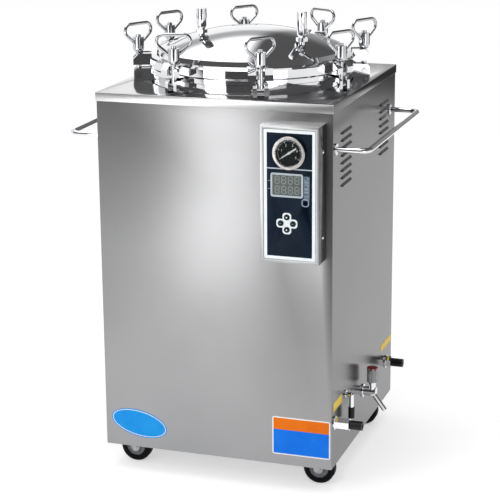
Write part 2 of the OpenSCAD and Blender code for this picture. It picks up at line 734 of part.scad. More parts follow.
// Control box: a folded housing with a lip that frames the fascia
box_front = -cab_d/2 - box_d;
box_back = -panel_y;
module control_box() { color(bright) place() difference() {
    translate([box_x - box_w/2, box_front, box_low]) cube([box_w, box_back - box_front, box_h]);
    translate([box_x - box_w/2 + sheet, box_front + fascia_in + fascia_t + sheet, box_low + sheet])
        cube([box_w - 2*sheet, box_back - box_front, box_h - 2*sheet]);
    translate([box_x - box_w/2 + lip, box_front - over, box_low + lip])
        cube([box_w - 2*lip, box_d, box_h - 2*lip]);
    translate([box_x - box_w/2 - over, -cab_d/2 - touch, cab_top - skirt_h - touch])
        cube([box_w + 2*over, box_d, skirt_h]);
} }

fascia_y = box_front + fascia_in;
gauge_z = box_z + box_h/2 - gauge_drop;
disp_z = box_z + disp_up;
disp_mid = box_x + disp_x;
button_z = box_z + button_up;
lamp_r = 2.5;
lamp_x = disp_mid + disp_w/2 + 4*lamp_r;
lamp_places = [disp_up + disp_h/2 - 2*lamp_r, disp_up, disp_up - disp_h/2 + 2*lamp_r];
button_dirs = [[0, 1], [0, -1], [-1, 0], [1, 0]];
module control_fascia() { color(navy) place() difference() {
    translate([box_x - box_w/2 + lip + touch, fascia_y, box_low + lip + touch])
        cube([box_w - 2*lip - 2*touch, fascia_t, box_h - 2*lip - 2*touch]);
    translate([box_x, fascia_y - over, gauge_z]) rotate([-90, 0, 0])
        cylinder(r = case_r + touch, h = fascia_t + 2*over);
    translate([disp_mid - disp_w/2 - touch, fascia_y - over, disp_z - disp_h/2 - touch])
        cube([disp_w + 2*touch, fascia_t + 2*over, disp_h + 2*touch]);
    for (b = button_dirs)
        translate([disp_mid + b[0]*button_pitch, fascia_y - over, button_z + b[1]*button_pitch])
            rotate([-90, 0, 0]) cylinder(r = button_r + touch, h = fascia_t + 2*over, $fn = small_fn);
    for (z = lamp_places) translate([lamp_x, fascia_y - over, box_z + z]) rotate([-90, 0, 0])
        cylinder(r = lamp_r + touch, h = fascia_t + 2*over, $fn = small_fn);
} }

// Display block and lamps on the circuit board behind the fascia, on four spacers
board_w = 100;
board_h = 150;
board_t = 1.6;
board_drop = 20;
board_gap = 14;
board_z = box_z - board_drop;
board_y = fascia_y + fascia_t + board_gap;
spacer_r = 3;
module display_board() { color("#2f6b45") place() {
    translate([box_x - board_w/2, board_y, board_z - board_h/2]) cube([board_w, board_t, board_h]);
    translate([disp_mid - disp_w/2, fascia_y + sheet, disp_z - disp_h/2])
        cube([disp_w, board_y - fascia_y - sheet + over/2, disp_h]);
    for (z = lamp_places) translate([lamp_x, fascia_y - lamp_r/2, box_z + z]) rotate([-90, 0, 0])
        cylinder(r = lamp_r, h = board_y - fascia_y + lamp_r/2 + over/2, $fn = small_fn);
    for (sx = [-1, 1]) for (sz = [-1, 1])
        translate([box_x + sx*(board_w/2 - 2*spacer_r), fascia_y + fascia_t + touch/3,
                   board_z + sz*(board_h/2 - 2*spacer_r)])
            rotate([-90, 0, 0])
                cylinder(r = spacer_r, h = board_y - fascia_y - fascia_t + over/2, $fn = small_fn);
} }

// The four buttons, pressed along +Y
button_skirt = 1.5;
button_stop_y = fascia_y + fascia_t + touch;
module button_key(b) { color("#e8e8e8") place()
    translate([disp_mid + b[0]*button_pitch, 0, button_z + b[1]*button_pitch]) rotate([-90, 0, 0]) {
        translate([0, 0, fascia_y - button_out])
            cylinder(r = button_r, h = button_out + fascia_t + touch + over/2);
        translate([0, 0, button_stop_y]) cylinder(r = button_r + over/2, h = button_skirt);
    }
}

// Pressure gauge
bezel_seat = 2.2;
dial_y = box_front;
dial_t = 0.8;
dial_r = case_r - over;
lens_t = 1.5;
lens_y = box_front - bezel_out + bezel_seat - lens_t - touch/3;
needle_y = (dial_y + lens_y + lens_t)/2;
hub_r = 3;
arbor_r = 1;
gauge_stem = 10;
stem_r_gauge = 6;
module gauge_case() { color(bright) place() translate([box_x, 0, gauge_z]) rotate([-90, 0, 0])
    rotate_extrude() polygon([
        [arbor_r + touch, dial_y], [case_r - touch, dial_y],
        [case_r - touch, box_front - bezel_out + bezel_seat],
        [case_r + over, box_front - bezel_out + bezel_seat], [case_r + over, box_front - bezel_out],
        [bezel_r - over, box_front - bezel_out], [bezel_r, box_front - bezel_out + over],
        [bezel_r, box_front - touch/3], [case_r, box_front - touch/3], [case_r, box_front + case_depth],
        [stem_r_gauge, box_front + case_depth], [stem_r_gauge, box_front + case_depth + gauge_stem],
        [0, box_front + case_depth + gauge_stem], [0, box_front + case_depth/2],
        [arbor_r + touch, box_front + case_depth/2]]);
}

module gauge_dial() { color("#101014") place()
    translate([box_x, 0, gauge_z]) rotate([-90, 0, 0]) difference() {
    translate([0, 0, dial_y - dial_t - touch/3]) cylinder(r = dial_r, h = dial_t);
    translate([0, 0, dial_y - 2*over]) cylinder(r = arbor_r + touch, h = 3*over, $fn = small_fn);
} }

module gauge_lens() { color("#dfe8ee", 0.35) place() translate([box_x, 0, gauge_z]) rotate([-90, 0, 0])
    translate([0, 0, lens_y]) cylinder(r = case_r + over - touch, h = lens_t);
}

// Needle on its arbor, at rest on the zero mark at the lower left
needle_w = 1.8;
needle_t = 0.6;
tail_share = 0.8;
module gauge_needle() { color("white") place() translate([box_x, 0, gauge_z]) rotate([-90, 0, 0]) {
    translate([0, 0, needle_y]) cylinder(r = hub_r, h = 2*needle_t, $fn = small_fn);
    translate([0, 0, needle_y]) cylinder(r = arbor_r, h = dial_y - needle_y + case_depth/4, $fn = small_fn);
    translate([0, 0, needle_y]) rotate([0, 0, 180 - needle_zero]) linear_extrude(needle_t) polygon([
        [-needle_len*tail_share, -needle_w], [0, -needle_w], [needle_len, -needle_w/4],
        [needle_len, needle_w/4], [0, needle_w], [-needle_len*tail_share, needle_w]]);
} }

// Side handles: two arms, two bends and a long bar, with a round plate at each end
handle_z = cab_top - handle_drop;
module handle() {
    for (e = [[-handle_front, 1], [handle_rear, -1]]) {
        translate([panel_x, e[0], handle_z]) rotate([0, 90, 0]) cylinder(r = rosette_r, h = rosette_t);
        translate([panel_x + rosette_t, e[0], handle_z]) rotate([0, 90, 0])
            cylinder(r = bar_r, h = handle_out - rosette_t - handle_bend);
        translate([panel_x + handle_out - handle_bend, e[0] + e[1]*handle_bend, handle_z])
            rotate([0, 0, e[1] > 0 ? -90 : 0]) rotate_extrude(angle = 90)
                translate([handle_bend, 0]) circle(r = bar_r, $fn = small_fn);
    }
    translate([panel_x + handle_out, -handle_front + handle_bend, handle_z]) rotate([-90, 0, 0])
        cylinder(r = bar_r, h = handle_front + handle_rear - 2*handle_bend);
}
module side_handles() { color(bright) place() { handle(); mirror([1, 0, 0]) handle(); } }

// Hose tails and the bent fitting: flange, union nut and plain hose end, all along +X
flange_t = 3;
flange_r = 16;
union_r = 15;
exhaust_union = 13;
drain_union = 34;
elbow_r = 5.5;
elbow_out = 16;
elbow_drop = 30;
elbow_cap_r = 7.5;
elbow_cap_len = 26;
inner_stub = 20;
module tail_fitting(y, z, union_len) { translate([panel_x, y, z]) rotate([0, 90, 0]) {
    difference() {
        union() {
            translate([0, 0, touch/3]) cylinder(r = flange_r, h = flange_t);
            translate([0, 0, flange_t]) cylinder(r = union_r, h = union_len, $fn = 6);
            translate([0, 0, flange_t + union_len - over]) cylinder(r = tail_r, h = tail_len + over);
            translate([0, 0, -inner_stub]) cylinder(r = pipe_r, h = inner_stub + over);
        }
        translate([0, 0, -inner_stub - over])
            cylinder(r = tail_r/2, h = inner_stub + flange_t + union_len + tail_len + 3*over);
    }
} }
module hose_tails() { color(dark_steel) place() {
    tail_fitting(exhaust_y, exhaust_z, exhaust_union);
    tail_fitting(-drain_y, drain_z, drain_union);
    translate([panel_x, -elbow_y, elbow_z]) rotate([0, 90, 0])
        translate([0, 0, touch/3]) cylinder(r = flange_r/1.6, h = flange_t);
    rod_path([[panel_x - inner_stub, -elbow_y, elbow_z], [panel_x + elbow_out, -elbow_y, elbow_z],
              [panel_x + elbow_out, -elbow_y, elbow_z - elbow_drop]], elbow_r);
    translate([panel_x + elbow_out, -elbow_y, elbow_z - elbow_drop - elbow_cap_len])
        cylinder(r = elbow_cap_r, h = elbow_cap_len);
} }

// Drain valve: a body out of the panel, an upright stem with its knob, and a slanted outlet
body_r = 11;
body_out = 34;
stem_out = 24;
stem_x = panel_x + stem_out;
stem_r = 5;
bonnet_r = 9;
bonnet_h = 14;
knob_gap = 0.5;
knob_foot = valve_z + body_r + bonnet_h + knob_gap;
outlet_r = 6;
outlet_start = 6;
outlet_run = 28;
outlet_fall = 38;
module drain_valve_body() { color(bright) place() {
    difference() {
        union() {
            translate([panel_x, -valve_y, valve_z]) rotate([0, 90, 0]) {
                translate([0, 0, touch/3]) cylinder(r = flange_r, h = flange_t);
                cylinder(r = body_r, h = body_out);
                translate([0, 0, -inner_stub]) cylinder(r = pipe_r, h = inner_stub + over);
            }
            translate([stem_x, -valve_y, valve_z]) cylinder(r = bonnet_r, h = body_r + bonnet_h);
            rod_path([[panel_x + body_out - outlet_start, -valve_y, valve_z - outlet_start],
                      [panel_x + body_out - outlet_start + outlet_run, -valve_y,
                       valve_z - outlet_start - outlet_fall]], outlet_r);
        }
        translate([panel_x - inner_stub - over, -valve_y, valve_z]) rotate([0, 90, 0])
            cylinder(r = pipe_r/2, h = inner_stub + body_out/2, $fn = small_fn);
    }
    translate([stem_x, -valve_y, knob_foot - knob_gap - over]) cylinder(r = stem_r, h = knob_h/2 + over);
} }

knob_flats = 8;
module drain_valve_knob() { color("#a11b22") place() translate([stem_x, -valve_y, knob_foot]) difference() {
    cylinder(r = knob_r, h = knob_h);
    translate([0, 0, -over]) cylinder(r = stem_r + run_fit, h = knob_h/2 + over + touch);
    for (k = [0:knob_flats - 1]) rotate([0, 0, k*360/knob_flats])
        translate([knob_r + outlet_r/3, 0, -over])
            cylinder(r = outlet_r/2, h = knob_h - outlet_r + over, $fn = small_fn);
} }

// Pipes inside the cabinet
steam_drop = 110;
steam_z = cab_top - steam_drop;
steam_turn = 45;
gauge_line_y = -(jacket_out + wall_in)/2;
corner_r = 7;
line_r = 4;
gauge_line = [[0, -vessel_r - touch, gauge_z], [0, gauge_line_y, gauge_z], [box_x, gauge_line_y, gauge_z],
              [box_x, box_front + case_depth + gauge_stem + touch/3, gauge_z]];
exhaust_gap = 40.5;
exhaust_x = wall_in - exhaust_gap;
module pipework() { color("#b87333") place() {
    // Drain: from the chamber's bottom port to the drain valve
    rod_path([[0, 0, vessel_low - touch], [0, 0, valve_z],
              [panel_x - inner_stub - touch, -valve_y, valve_z]], pipe_r);
    // Steam exhaust: out of the vessel's side and down to the exhaust tail
    rod_path([[(vessel_r + touch)*cos(steam_turn), (vessel_r + touch)*sin(steam_turn), steam_z],
              [exhaust_x, exhaust_x*tan(steam_turn), steam_z],
              [exhaust_x, exhaust_x*tan(steam_turn), exhaust_z],
              [panel_x - inner_stub - touch, exhaust_y, exhaust_z]], line_r);
    // Gauge: out of the vessel's front and through the front panel's wire hole to the gauge's stem
    for (i = [0:len(gauge_line) - 2]) rod(gauge_line[i], gauge_line[i + 1], line_r);
    for (i = [1:len(gauge_line) - 2]) translate(gauge_line[i] - [0, 0, corner_r])
        cylinder(r = corner_r, h = 2*corner_r, $fn = small_fn);
} }

gland_nut_r = 14;
gland_bore_r = 6;
module cable_gland() { color(rubber) place() translate([gland_x, panel_y, gland_z]) rotate([-90, 0, 0])
    difference() {
        union() {
            translate([0, 0, touch/3]) cylinder(r = gland_nut_r, h = gland_out/2, $fn = 6);
            cylinder(r = gland_r, h = gland_out);
            translate([0, 0, -gland_out]) cylinder(r = gland_r, h = gland_out + over);
            translate([0, 0, -gland_out/2 - sheet])
                cylinder(r = gland_nut_r, h = gland_out/2 - touch, $fn = 6);
        }
        translate([0, 0, -gland_out - over]) cylinder(r = gland_bore_r, h = 2*gland_out + 2*over);
    }
}

// Casters: [side, distance from the middle], the wheels trail outward
caster_spots = [[-1, -caster_front], [1, -caster_front], [-1, caster_rear], [1, caster_rear]];
plate_w = 70;
plate_t = 3;
race_r = 18;
race_h = 6;
king_r = 5;
crown_t = 3.6;
crown_r = 20;
crown_top = caster_h - plate_t - race_h - touch;
king_head_r = 9;
king_head_t = 2.5;
fork_t = 3;
fork_gap = 1.5;
fork_y = wheel_w/2 + fork_gap;
fork_foot_r = 11;
axle_head_r = 7;
axle_head_t = 3;
module caster_plates() { color(dark_steel) place() for (c = caster_spots)
    translate([c[0]*caster_x, c[1], 0]) {
        translate([-plate_w/2, -plate_w/2, caster_h - plate_t - touch/3]) cube([plate_w, plate_w, plate_t]);
        translate([0, 0, caster_h - plate_t - race_h]) cylinder(r = race_r, h = race_h);
        translate([0, 0, crown_top - crown_t - touch - over])
            cylinder(r = king_r, h = crown_t + 2*touch + 2*over);
        translate([0, 0, crown_top - crown_t - touch - king_head_t])
            cylinder(r = king_head_r, h = king_head_t);
    }
}

module caster_fork(k) { let (c = caster_spots[k]) color(steel) place()
    translate([c[0]*caster_x, c[1], 0]) mirror([c[0] > 0 ? 0 : 1, 0, 0]) {
        difference() {
            union() {
                translate([0, 0, crown_top - crown_t]) cylinder(r = crown_r, h = crown_t);
                translate([-crown_r/2, -fork_y - fork_t, crown_top - crown_t])
                    cube([crown_r + fork_foot_r, 2*(fork_y + fork_t), crown_t]);
            }
            translate([0, 0, crown_top - crown_t - over])
                cylinder(r = king_r + run_fit, h = crown_t + 2*over);
        }
        for (s = [-1, 1]) translate([0, s*(fork_y + fork_t/2) + fork_t/2, 0]) rotate([90, 0, 0])
            linear_extrude(fork_t) union() {
                polygon([[-crown_r/2, crown_top], [crown_r/2 + fork_foot_r, crown_top],
                         [trail + fork_foot_r - over, wheel_r], [trail - fork_foot_r + over, wheel_r]]);
                translate([trail, wheel_r]) circle(r = fork_foot_r, $fn = small_fn);
            }
        translate([trail, 0, wheel_r]) rotate([90, 0, 0]) {
            cylinder(r = axle_r, h = 2*(fork_y + fork_t) + over, center = true);
            for (s = [-1, 1]) translate([0, 0, s*(fork_y + fork_t + axle_head_t/2)])
                cylinder(r = axle_head_r, h = axle_head_t, center = true, $fn = 6);
        }
    }
}

tyre_edge = 4;
hub_r_wheel = 24;
hub_in = 3;
module caster_wheel(k) { let (c = caster_spots[k]) color(rubber) place()
    translate([c[0]*(caster_x + trail), c[1], wheel_r]) rotate([90, 0, 0]) rotate_extrude() polygon([
        [axle_r + run_fit, -wheel_w/2], [2*axle_r, -wheel_w/2], [2*axle_r + hub_in, -wheel_w/2 + hub_in],
        [hub_r_wheel - hub_in, -wheel_w/2 + hub_in], [hub_r_wheel, -wheel_w/2],
        [wheel_r - tyre_edge, -wheel_w/2], [wheel_r, -wheel_w/2 + tyre_edge],
        [wheel_r, wheel_w/2 - tyre_edge], [wheel_r - tyre_edge, wheel_w/2],
        [hub_r_wheel, wheel_w/2], [hub_r_wheel - hub_in, wheel_w/2 - hub_in],
        [2*axle_r + hub_in, wheel_w/2 - hub_in], [2*axle_r, wheel_w/2], [axle_r + run_fit, wheel_w/2]]);
}

floor_pan();
front_panel();
left_side_panel();
right_side_panel();
rear_panel();
top_cover();
pressure_vessel();
rim_flange();
lug_pins();
insulation_jacket();
heating_elements();
heater_grid();
sterilizing_basket();
control_box();
control_fascia();
display_board();
gauge_case();
gauge_dial();
gauge_lens();
gauge_needle();
side_handles();
hose_tails();
drain_valve_body();
drain_valve_knob();
pipework();
cable_gland();
caster_plates();
lid();
lid_gasket();
lid_valves();
vent_valve_lever();
safety_valve_cap();
button_key(button_dirs[0]);  // button_up_key
button_key(button_dirs[1]);  // button_down_key
button_key(button_dirs[2]);  // button_left_key
button_key(button_dirs[3]);  // button_right_key
caster_fork(0);  // caster_fork_front_left
caster_fork(1);  // caster_fork_front_right
caster_fork(2);  // caster_fork_rear_left
caster_fork(3);  // caster_fork_rear_right
caster_wheel(0);  // caster_wheel_front_left
caster_wheel(1);  // caster_wheel_front_right
caster_wheel(2);  // caster_wheel_rear_left
caster_wheel(3);  // caster_wheel_rear_right
for (i = [1:bolt_count]) {
    swing_bolt(i);
    ring_nut(i);
}
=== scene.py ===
import math
import bpy
import numpy as np
from mathutils import Matrix, Vector


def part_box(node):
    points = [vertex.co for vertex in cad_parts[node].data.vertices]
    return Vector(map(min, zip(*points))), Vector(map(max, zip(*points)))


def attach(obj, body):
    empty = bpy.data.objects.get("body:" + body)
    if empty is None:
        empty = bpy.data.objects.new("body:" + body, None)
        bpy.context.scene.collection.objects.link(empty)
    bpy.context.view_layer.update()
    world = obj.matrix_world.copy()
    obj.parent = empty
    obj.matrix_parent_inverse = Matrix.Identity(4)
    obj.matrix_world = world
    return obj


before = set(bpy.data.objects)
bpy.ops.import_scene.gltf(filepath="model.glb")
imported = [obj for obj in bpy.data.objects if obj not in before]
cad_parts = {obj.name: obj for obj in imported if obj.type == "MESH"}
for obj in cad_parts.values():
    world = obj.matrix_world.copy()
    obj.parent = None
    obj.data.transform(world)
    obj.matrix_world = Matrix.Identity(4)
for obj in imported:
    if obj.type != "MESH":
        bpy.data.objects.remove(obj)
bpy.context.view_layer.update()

# Driving places, read from the frame: the cabinet's middle, its faces and its heights
mm = 0.001
coverLow, coverHigh = [Vector(c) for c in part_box("top_cover")]
frontLow, frontHigh = [Vector(c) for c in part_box("front_panel")]
boxLow, boxHigh = [Vector(c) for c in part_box("control_box")]
fasciaLow, fasciaHigh = [Vector(c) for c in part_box("control_fascia")]
midX = (coverLow.x + coverHigh.x) / 2
midY = (coverLow.y + coverHigh.y) / 2
panelFoot = frontLow.z
frontFace = frontLow.y
rightFace = frontHigh.x


# An sRGB hex colour as linear values: each channel c becomes ((c + 0.055) / 1.055) to the power 2.4
def srgb(code):
    channels = np.array([int(code[i:i + 2], 16) / 255 for i in (1, 3, 5)])
    linear = np.where(channels <= 0.04045, channels / 12.92, ((channels + 0.055) / 1.055) ** 2.4)
    return (*linear.tolist(), 1.0)


# Adds a node: inputs given as a socket are linked, and others set
def addNode(tree, kind, inputs, **settings):
    node = tree.nodes.new(kind)
    for name, value in settings.items():
        setattr(node, name, value)
    for name, value in inputs.items():
        if isinstance(value, bpy.types.NodeSocket):
            tree.links.new(value, node.inputs[name])
        else:
            node.inputs[name].default_value = value
    return node


# Noise in every finish: how fine it is, and the spans of it that the shade and the gloss run over
noise = {"cloudDetail": 3.0, "cloudSpan": (0.3, 0.7), "grainRoughness": 0.6, "grainSpan": (0.25, 0.75)}


# A finish: the shade drifts between dark and light over cloud mm. Grain, its size in mm along x, y and z,
# moves the roughness by spread and lifts the surface by depth mm. Further sockets are set on the shader
def makeFinish(name, dark, light, metallic, roughness, grain, cloud, spread, depth=0.0, detail=4.0,
               **sockets):
    material = bpy.data.materials.new(name)
    material.use_nodes = True
    tree = material.node_tree
    shader = tree.nodes["Principled BSDF"]
    shader.inputs["Metallic"].default_value = metallic
    for socket, value in sockets.items():
        shader.inputs[socket.replace("_", " ")].default_value = value
    place = addNode(tree, "ShaderNodeTexCoord", {}).outputs["Object"]
    grainScale = [1 / (size * mm) for size in grain]
    grainPlace = addNode(tree, "ShaderNodeMapping", {"Vector": place, "Scale": grainScale}).outputs["Vector"]
    grainNoise = addNode(tree, "ShaderNodeTexNoise", {
        "Vector": grainPlace, "Scale": 1.0, "Detail": detail,
        "Roughness": noise["grainRoughness"]}).outputs["Fac"]
    cloudNoise = addNode(tree, "ShaderNodeTexNoise", {
        "Vector": place, "Scale": 1 / (cloud * mm), "Detail": noise["cloudDetail"]}).outputs["Fac"]
    shade = addNode(tree, "ShaderNodeMapRange", {
        "Value": cloudNoise, "From Min": noise["cloudSpan"][0], "From Max": noise["cloudSpan"][1]})
    mix = addNode(tree, "ShaderNodeMix", {"Factor": shade.outputs["Result"]}, data_type="RGBA")
    mix.inputs["A"].default_value = srgb(dark)
    mix.inputs["B"].default_value = srgb(light)
    tree.links.new(mix.outputs["Result"], shader.inputs["Base Color"])
    gloss = addNode(tree, "ShaderNodeMapRange", {
        "Value": grainNoise, "From Min": noise["grainSpan"][0], "From Max": noise["grainSpan"][1],
        "To Min": max(roughness - spread / 2, 0.0), "To Max": roughness + spread / 2})
    tree.links.new(gloss.outputs["Result"], shader.inputs["Roughness"])
    if depth > 0:
        bumped = addNode(tree, "ShaderNodeBump", {
            "Height": grainNoise, "Strength": 1.0, "Distance": depth * mm}).outputs["Normal"]
        tree.links.new(bumped, shader.inputs["Normal"])
    return material


# Brushed sheet: grain 90 mm long and 0.35 mm wide across the sheet, so highlights are broad and soft
steelFront = makeFinish("brushed steel, front and rear", "#989899", "#a0a0a1", metallic=1, roughness=0.37,
                        grain=(90, 90, 0.35), cloud=300, spread=0.1, depth=0.0012)
# The same sheet on the sides, smoother, so that it mirrors the fittings softly. Its darker colour is painted
# shade, for the sides that take less light than the front
steelSidePaintedShade = makeFinish("brushed steel, sides, painted shade", "#5d5d5e", "#636364", metallic=1, roughness=0.21,
                       grain=(90, 90, 0.35), cloud=300, spread=0.06, depth=0.0008)
# Cold-rolled bright sheet: nearly a mirror, with faint rolling lines 0.5 mm apart
steelCover = makeFinish("bright rolled steel, cover", "#d4d4d5", "#e2e2e3", metallic=1, roughness=0.18,
                        grain=(120, 0.5, 0.5), cloud=200, spread=0.05, depth=0.0005)
# Mirror polish with slow waves some 25 mm long left by the wheel
steelMirror = makeFinish("mirror-polished steel", "#dedfe2", "#ececee", metallic=1, roughness=0.05,
                         grain=(25, 25, 25), cloud=80, spread=0.03, depth=0.02, detail=2.0)
# Investment-cast and polished: soft dimples about 9 mm across
steelBolt = makeFinish("polished cast steel", "#bcbdc0", "#cfd0d2", metallic=1, roughness=0.09,
                       grain=(9, 9, 9), cloud=30, spread=0.06, depth=0.02, detail=3.0)
# Satin sheet of the control box, brushed upright with grain 60 mm long
steelBox = makeFinish("satin steel, control box", "#9c9c9d", "#a9a9aa", metallic=1, roughness=0.30,
                      grain=(0.4, 0.4, 60), cloud=120, spread=0.08, depth=0.001)
# The box's right side: polished, with the same upright grain, and dark in painted shade
steelBoxSidePaintedShade = makeFinish("polished steel, box side, painted shade", "#48494b", "#626365", metallic=1,
                          roughness=0.22, grain=(0.4, 0.4, 60), cloud=40, spread=0.08)
# The box's top: it scatters the light from above, and its grain runs across, 60 mm long. Its lighter colour
# is painted light from above
steelBoxTopPaintedLight = makeFinish("satin steel, box top, painted light", "#e2e2e3", "#eeeeef", metallic=1, roughness=0.5,
                         grain=(60, 0.4, 0.4), cloud=60, spread=0.08, depth=0.001)
# Front and rear folds of the cover, brushed along with grain 90 mm long: softer than its top, and darker than
# it in painted shade
steelFoldPaintedShade = makeFinish("brushed steel, cover folds, painted shade", "#b6b6b7", "#c0c0c1", metallic=1, roughness=0.34,
                       grain=(90, 90, 0.35), cloud=200, spread=0.08, depth=0.001)
# Gauge bezel: polished, a little grey and warm, with waves of 8 mm
steelBezel = makeFinish("polished steel, bezel", "#a5a2a0", "#bcb9b7", metallic=1, roughness=0.16,
                        grain=(8, 8, 8), cloud=12, spread=0.08, depth=0.004)
# Satin finish inside, brushed round the chamber with grain 40 mm long
steelInner = makeFinish("satin steel, inside", "#8e8e90", "#b4b4b6", metallic=1, roughness=0.38,
                        grain=(40, 40, 0.5), cloud=90, spread=0.08, depth=0.001)
# Zinc plating: dull blue-grey with a spangle of about 6 mm
zincPlate = makeFinish("zinc-plated steel", "#8a8b8e", "#b1b2b6", metallic=1, roughness=0.40,
                       grain=(6, 6, 6), cloud=12, spread=0.15, depth=0.002)
# Chrome plate: a clear mirror, with wipe marks about 15 mm long
chromePlate = makeFinish("chrome plate", "#dcdde0", "#ededf0", metallic=1, roughness=0.06,
                         grain=(15, 15, 15), cloud=30, spread=0.04, depth=0.004, detail=2.0)
# Copper pipe, dulled in patches of about 20 mm
copperPipe = makeFinish("copper pipe", "#a86b4b", "#c4866a", metallic=1, roughness=0.28,
                        grain=(20, 20, 20), cloud=25, spread=0.15)
# Heater sheath: scorched dark grey, mottled every 10 mm
heaterSheath = makeFinish("heater sheath", "#3b3c40", "#5a5b60", metallic=1, roughness=0.45,
                          grain=(10, 10, 10), cloud=14, spread=0.15)
# Black rubber of tails and gland: smooth, with a soft sheen and a fine skin of 0.8 mm
blackRubber = makeFinish("black rubber", "#050506", "#0d0d0e", metallic=0, roughness=0.4,
                         grain=(0.8, 0.8, 0.8), cloud=20, spread=0.1, depth=0.006, Specular_IOR_Level=0.3)
# Tyre rubber: black and a little worn, with a skin of 1.2 mm
tyreRubber = makeFinish("tyre rubber", "#050505", "#0c0c0d", metallic=0, roughness=0.55,
                        grain=(1.2, 1.2, 1.2), cloud=12, spread=0.12, depth=0.015, Specular_IOR_Level=0.1)
# Navy film over the fascia: dark and nearly without gloss, printed grain of 1 mm
navyPanel = makeFinish("navy printed panel", "#061524", "#0a1c2e", metallic=0, roughness=0.5,
                       grain=(1, 1, 1), cloud=50, spread=0.06, depth=0.001, Specular_IOR_Level=0.12)
# Mineral wool: cream, matted in tufts of 5 mm
whiteWool = makeFinish("mineral wool", "#cfc8ae", "#ece6cf", metallic=0, roughness=0.9, grain=(5, 5, 5),
                       cloud=30, spread=0.05, depth=0.4)
# Black dial paint, fine matt stipple of 0.6 mm
blackDial = makeFinish("black dial paint", "#08080a", "#111114", metallic=0, roughness=0.6,
                       grain=(0.6, 0.6, 0.6), cloud=10, spread=0.06, depth=0.002, Specular_IOR_Level=0.2)
# Keys: near-black satin moulding, mottled every 0.8 mm
keyBlack = makeFinish("black key", "#08121c", "#0f1c2a", metallic=0, roughness=0.45,
                      grain=(0.8, 0.8, 0.8), cloud=6, spread=0.08, depth=0.002, Specular_IOR_Level=0.2)
# Grey moulded plastic of wheel hubs, with a mottle of 1.5 mm
hubGrey = makeFinish("grey wheel hub", "#55565a", "#75767a", metallic=0, roughness=0.4,
                     grain=(1.5, 1.5, 1.5), cloud=12, spread=0.1, depth=0.004)
# Lighter grey moulded plastic of the valve knob, with the same mottle
knobGrey = makeFinish("grey moulded plastic", "#8f9092", "#b4b5b7", metallic=0, roughness=0.42,
                      grain=(1.5, 1.5, 1.5), cloud=12, spread=0.1, depth=0.004)
# The knob's dark red cap: glossier, mottled every 2 mm
knobRed = makeFinish("dark red cap", "#6d1017", "#8c1a22", metallic=0, roughness=0.3, grain=(2, 2, 2),
                     cloud=10, spread=0.08, depth=0.002, Coat_Weight=0.3)
# Circuit board lacquer over a 2 mm weave
boardGreen = makeFinish("circuit board", "#1d4a33", "#2c6a48", metallic=0, roughness=0.45,
                        grain=(2, 2, 2), cloud=20, spread=0.1, depth=0.004)
# Unlit display film, grey with a green cast, mottled every 0.8 mm
displayGrey = makeFinish("grey-green display", "#3f4746", "#535b59", metallic=0, roughness=0.3,
                         grain=(0.8, 0.8, 0.8), cloud=8, spread=0.08)
# Faint segments in the film, mottled every 1 mm
segmentPale = makeFinish("display segments", "#747d7a", "#838c87", metallic=0, roughness=0.35,
                         grain=(1, 1, 1), cloud=5, spread=0.06)
# Screen prints: even colour in a thin coat, gloss mottled every 3 mm
printWhite = makeFinish("white print", "#e9f2f7", "#f4f9fb", metallic=0, roughness=0.4, grain=(3, 3, 3),
                        cloud=20, spread=0.1)
printPale = makeFinish("pale grey print", "#a9b4bc", "#bcc6cd", metallic=0, roughness=0.4,
                       grain=(3, 3, 3), cloud=12, spread=0.1)
printSteel = makeFinish("steel-blue print", "#73879a", "#8699ab", metallic=0, roughness=0.4,
                        grain=(3, 3, 3), cloud=9, spread=0.1)
printGrey = makeFinish("grey print", "#56646f", "#6f7e8b", metallic=0, roughness=0.4, grain=(3, 3, 3),
                       cloud=9, spread=0.1)
# Dial marks and needle: matt white paint, mottled every 1 mm
dialWhite = makeFinish("white dial marks", "#dcdcd8", "#ecece8", metallic=0, roughness=0.5,
                       grain=(1, 1, 1), cloud=8, spread=0.06)
# Vinyls: smooth and even, gloss mottled every 3 mm
vinylWhite = makeFinish("white vinyl", "#ececea", "#f6f6f4", metallic=0, roughness=0.35, grain=(3, 3, 3),
                        cloud=40, spread=0.1, Coat_Weight=0.15)
vinylOrange = makeFinish("orange vinyl", "#e66e08", "#ee7a10", metallic=0, roughness=0.4, grain=(3, 3, 3),
                         cloud=40, spread=0.1, Specular_IOR_Level=0.15)
vinylBlue = makeFinish("blue vinyl", "#0a70e6", "#127cec", metallic=0, roughness=0.4, grain=(3, 3, 3),
                       cloud=40, spread=0.1, Specular_IOR_Level=0.15)
vinylCyan = makeFinish("light blue vinyl", "#1490e2", "#1e9be8", metallic=0, roughness=0.4,
                       grain=(3, 3, 3), cloud=40, spread=0.1, Specular_IOR_Level=0.15)
vinylYellow = makeFinish("yellow vinyl", "#ffd22e", "#ffdf48", metallic=0, roughness=0.4, grain=(3, 3, 3),
                         cloud=40, spread=0.1, Specular_IOR_Level=0.15)
# Gauge glass: thin and clear, so its bend of light is kept small, with waves of 30 mm
clearGlass = makeFinish("clear glass", "#f4f8fa", "#f8fbfc", metallic=0, roughness=0.02,
                        grain=(30, 30, 30), cloud=40, spread=0.01, Transmission_Weight=1.0, IOR=1.1)
print("materials made:", len(bpy.data.materials))

# Edges of the CAD nodes: sharp from this angle in degrees, and points nearer than weld in metres are one
edges = {"sharp": 35.0, "weld": 1e-6, "segments": 2}


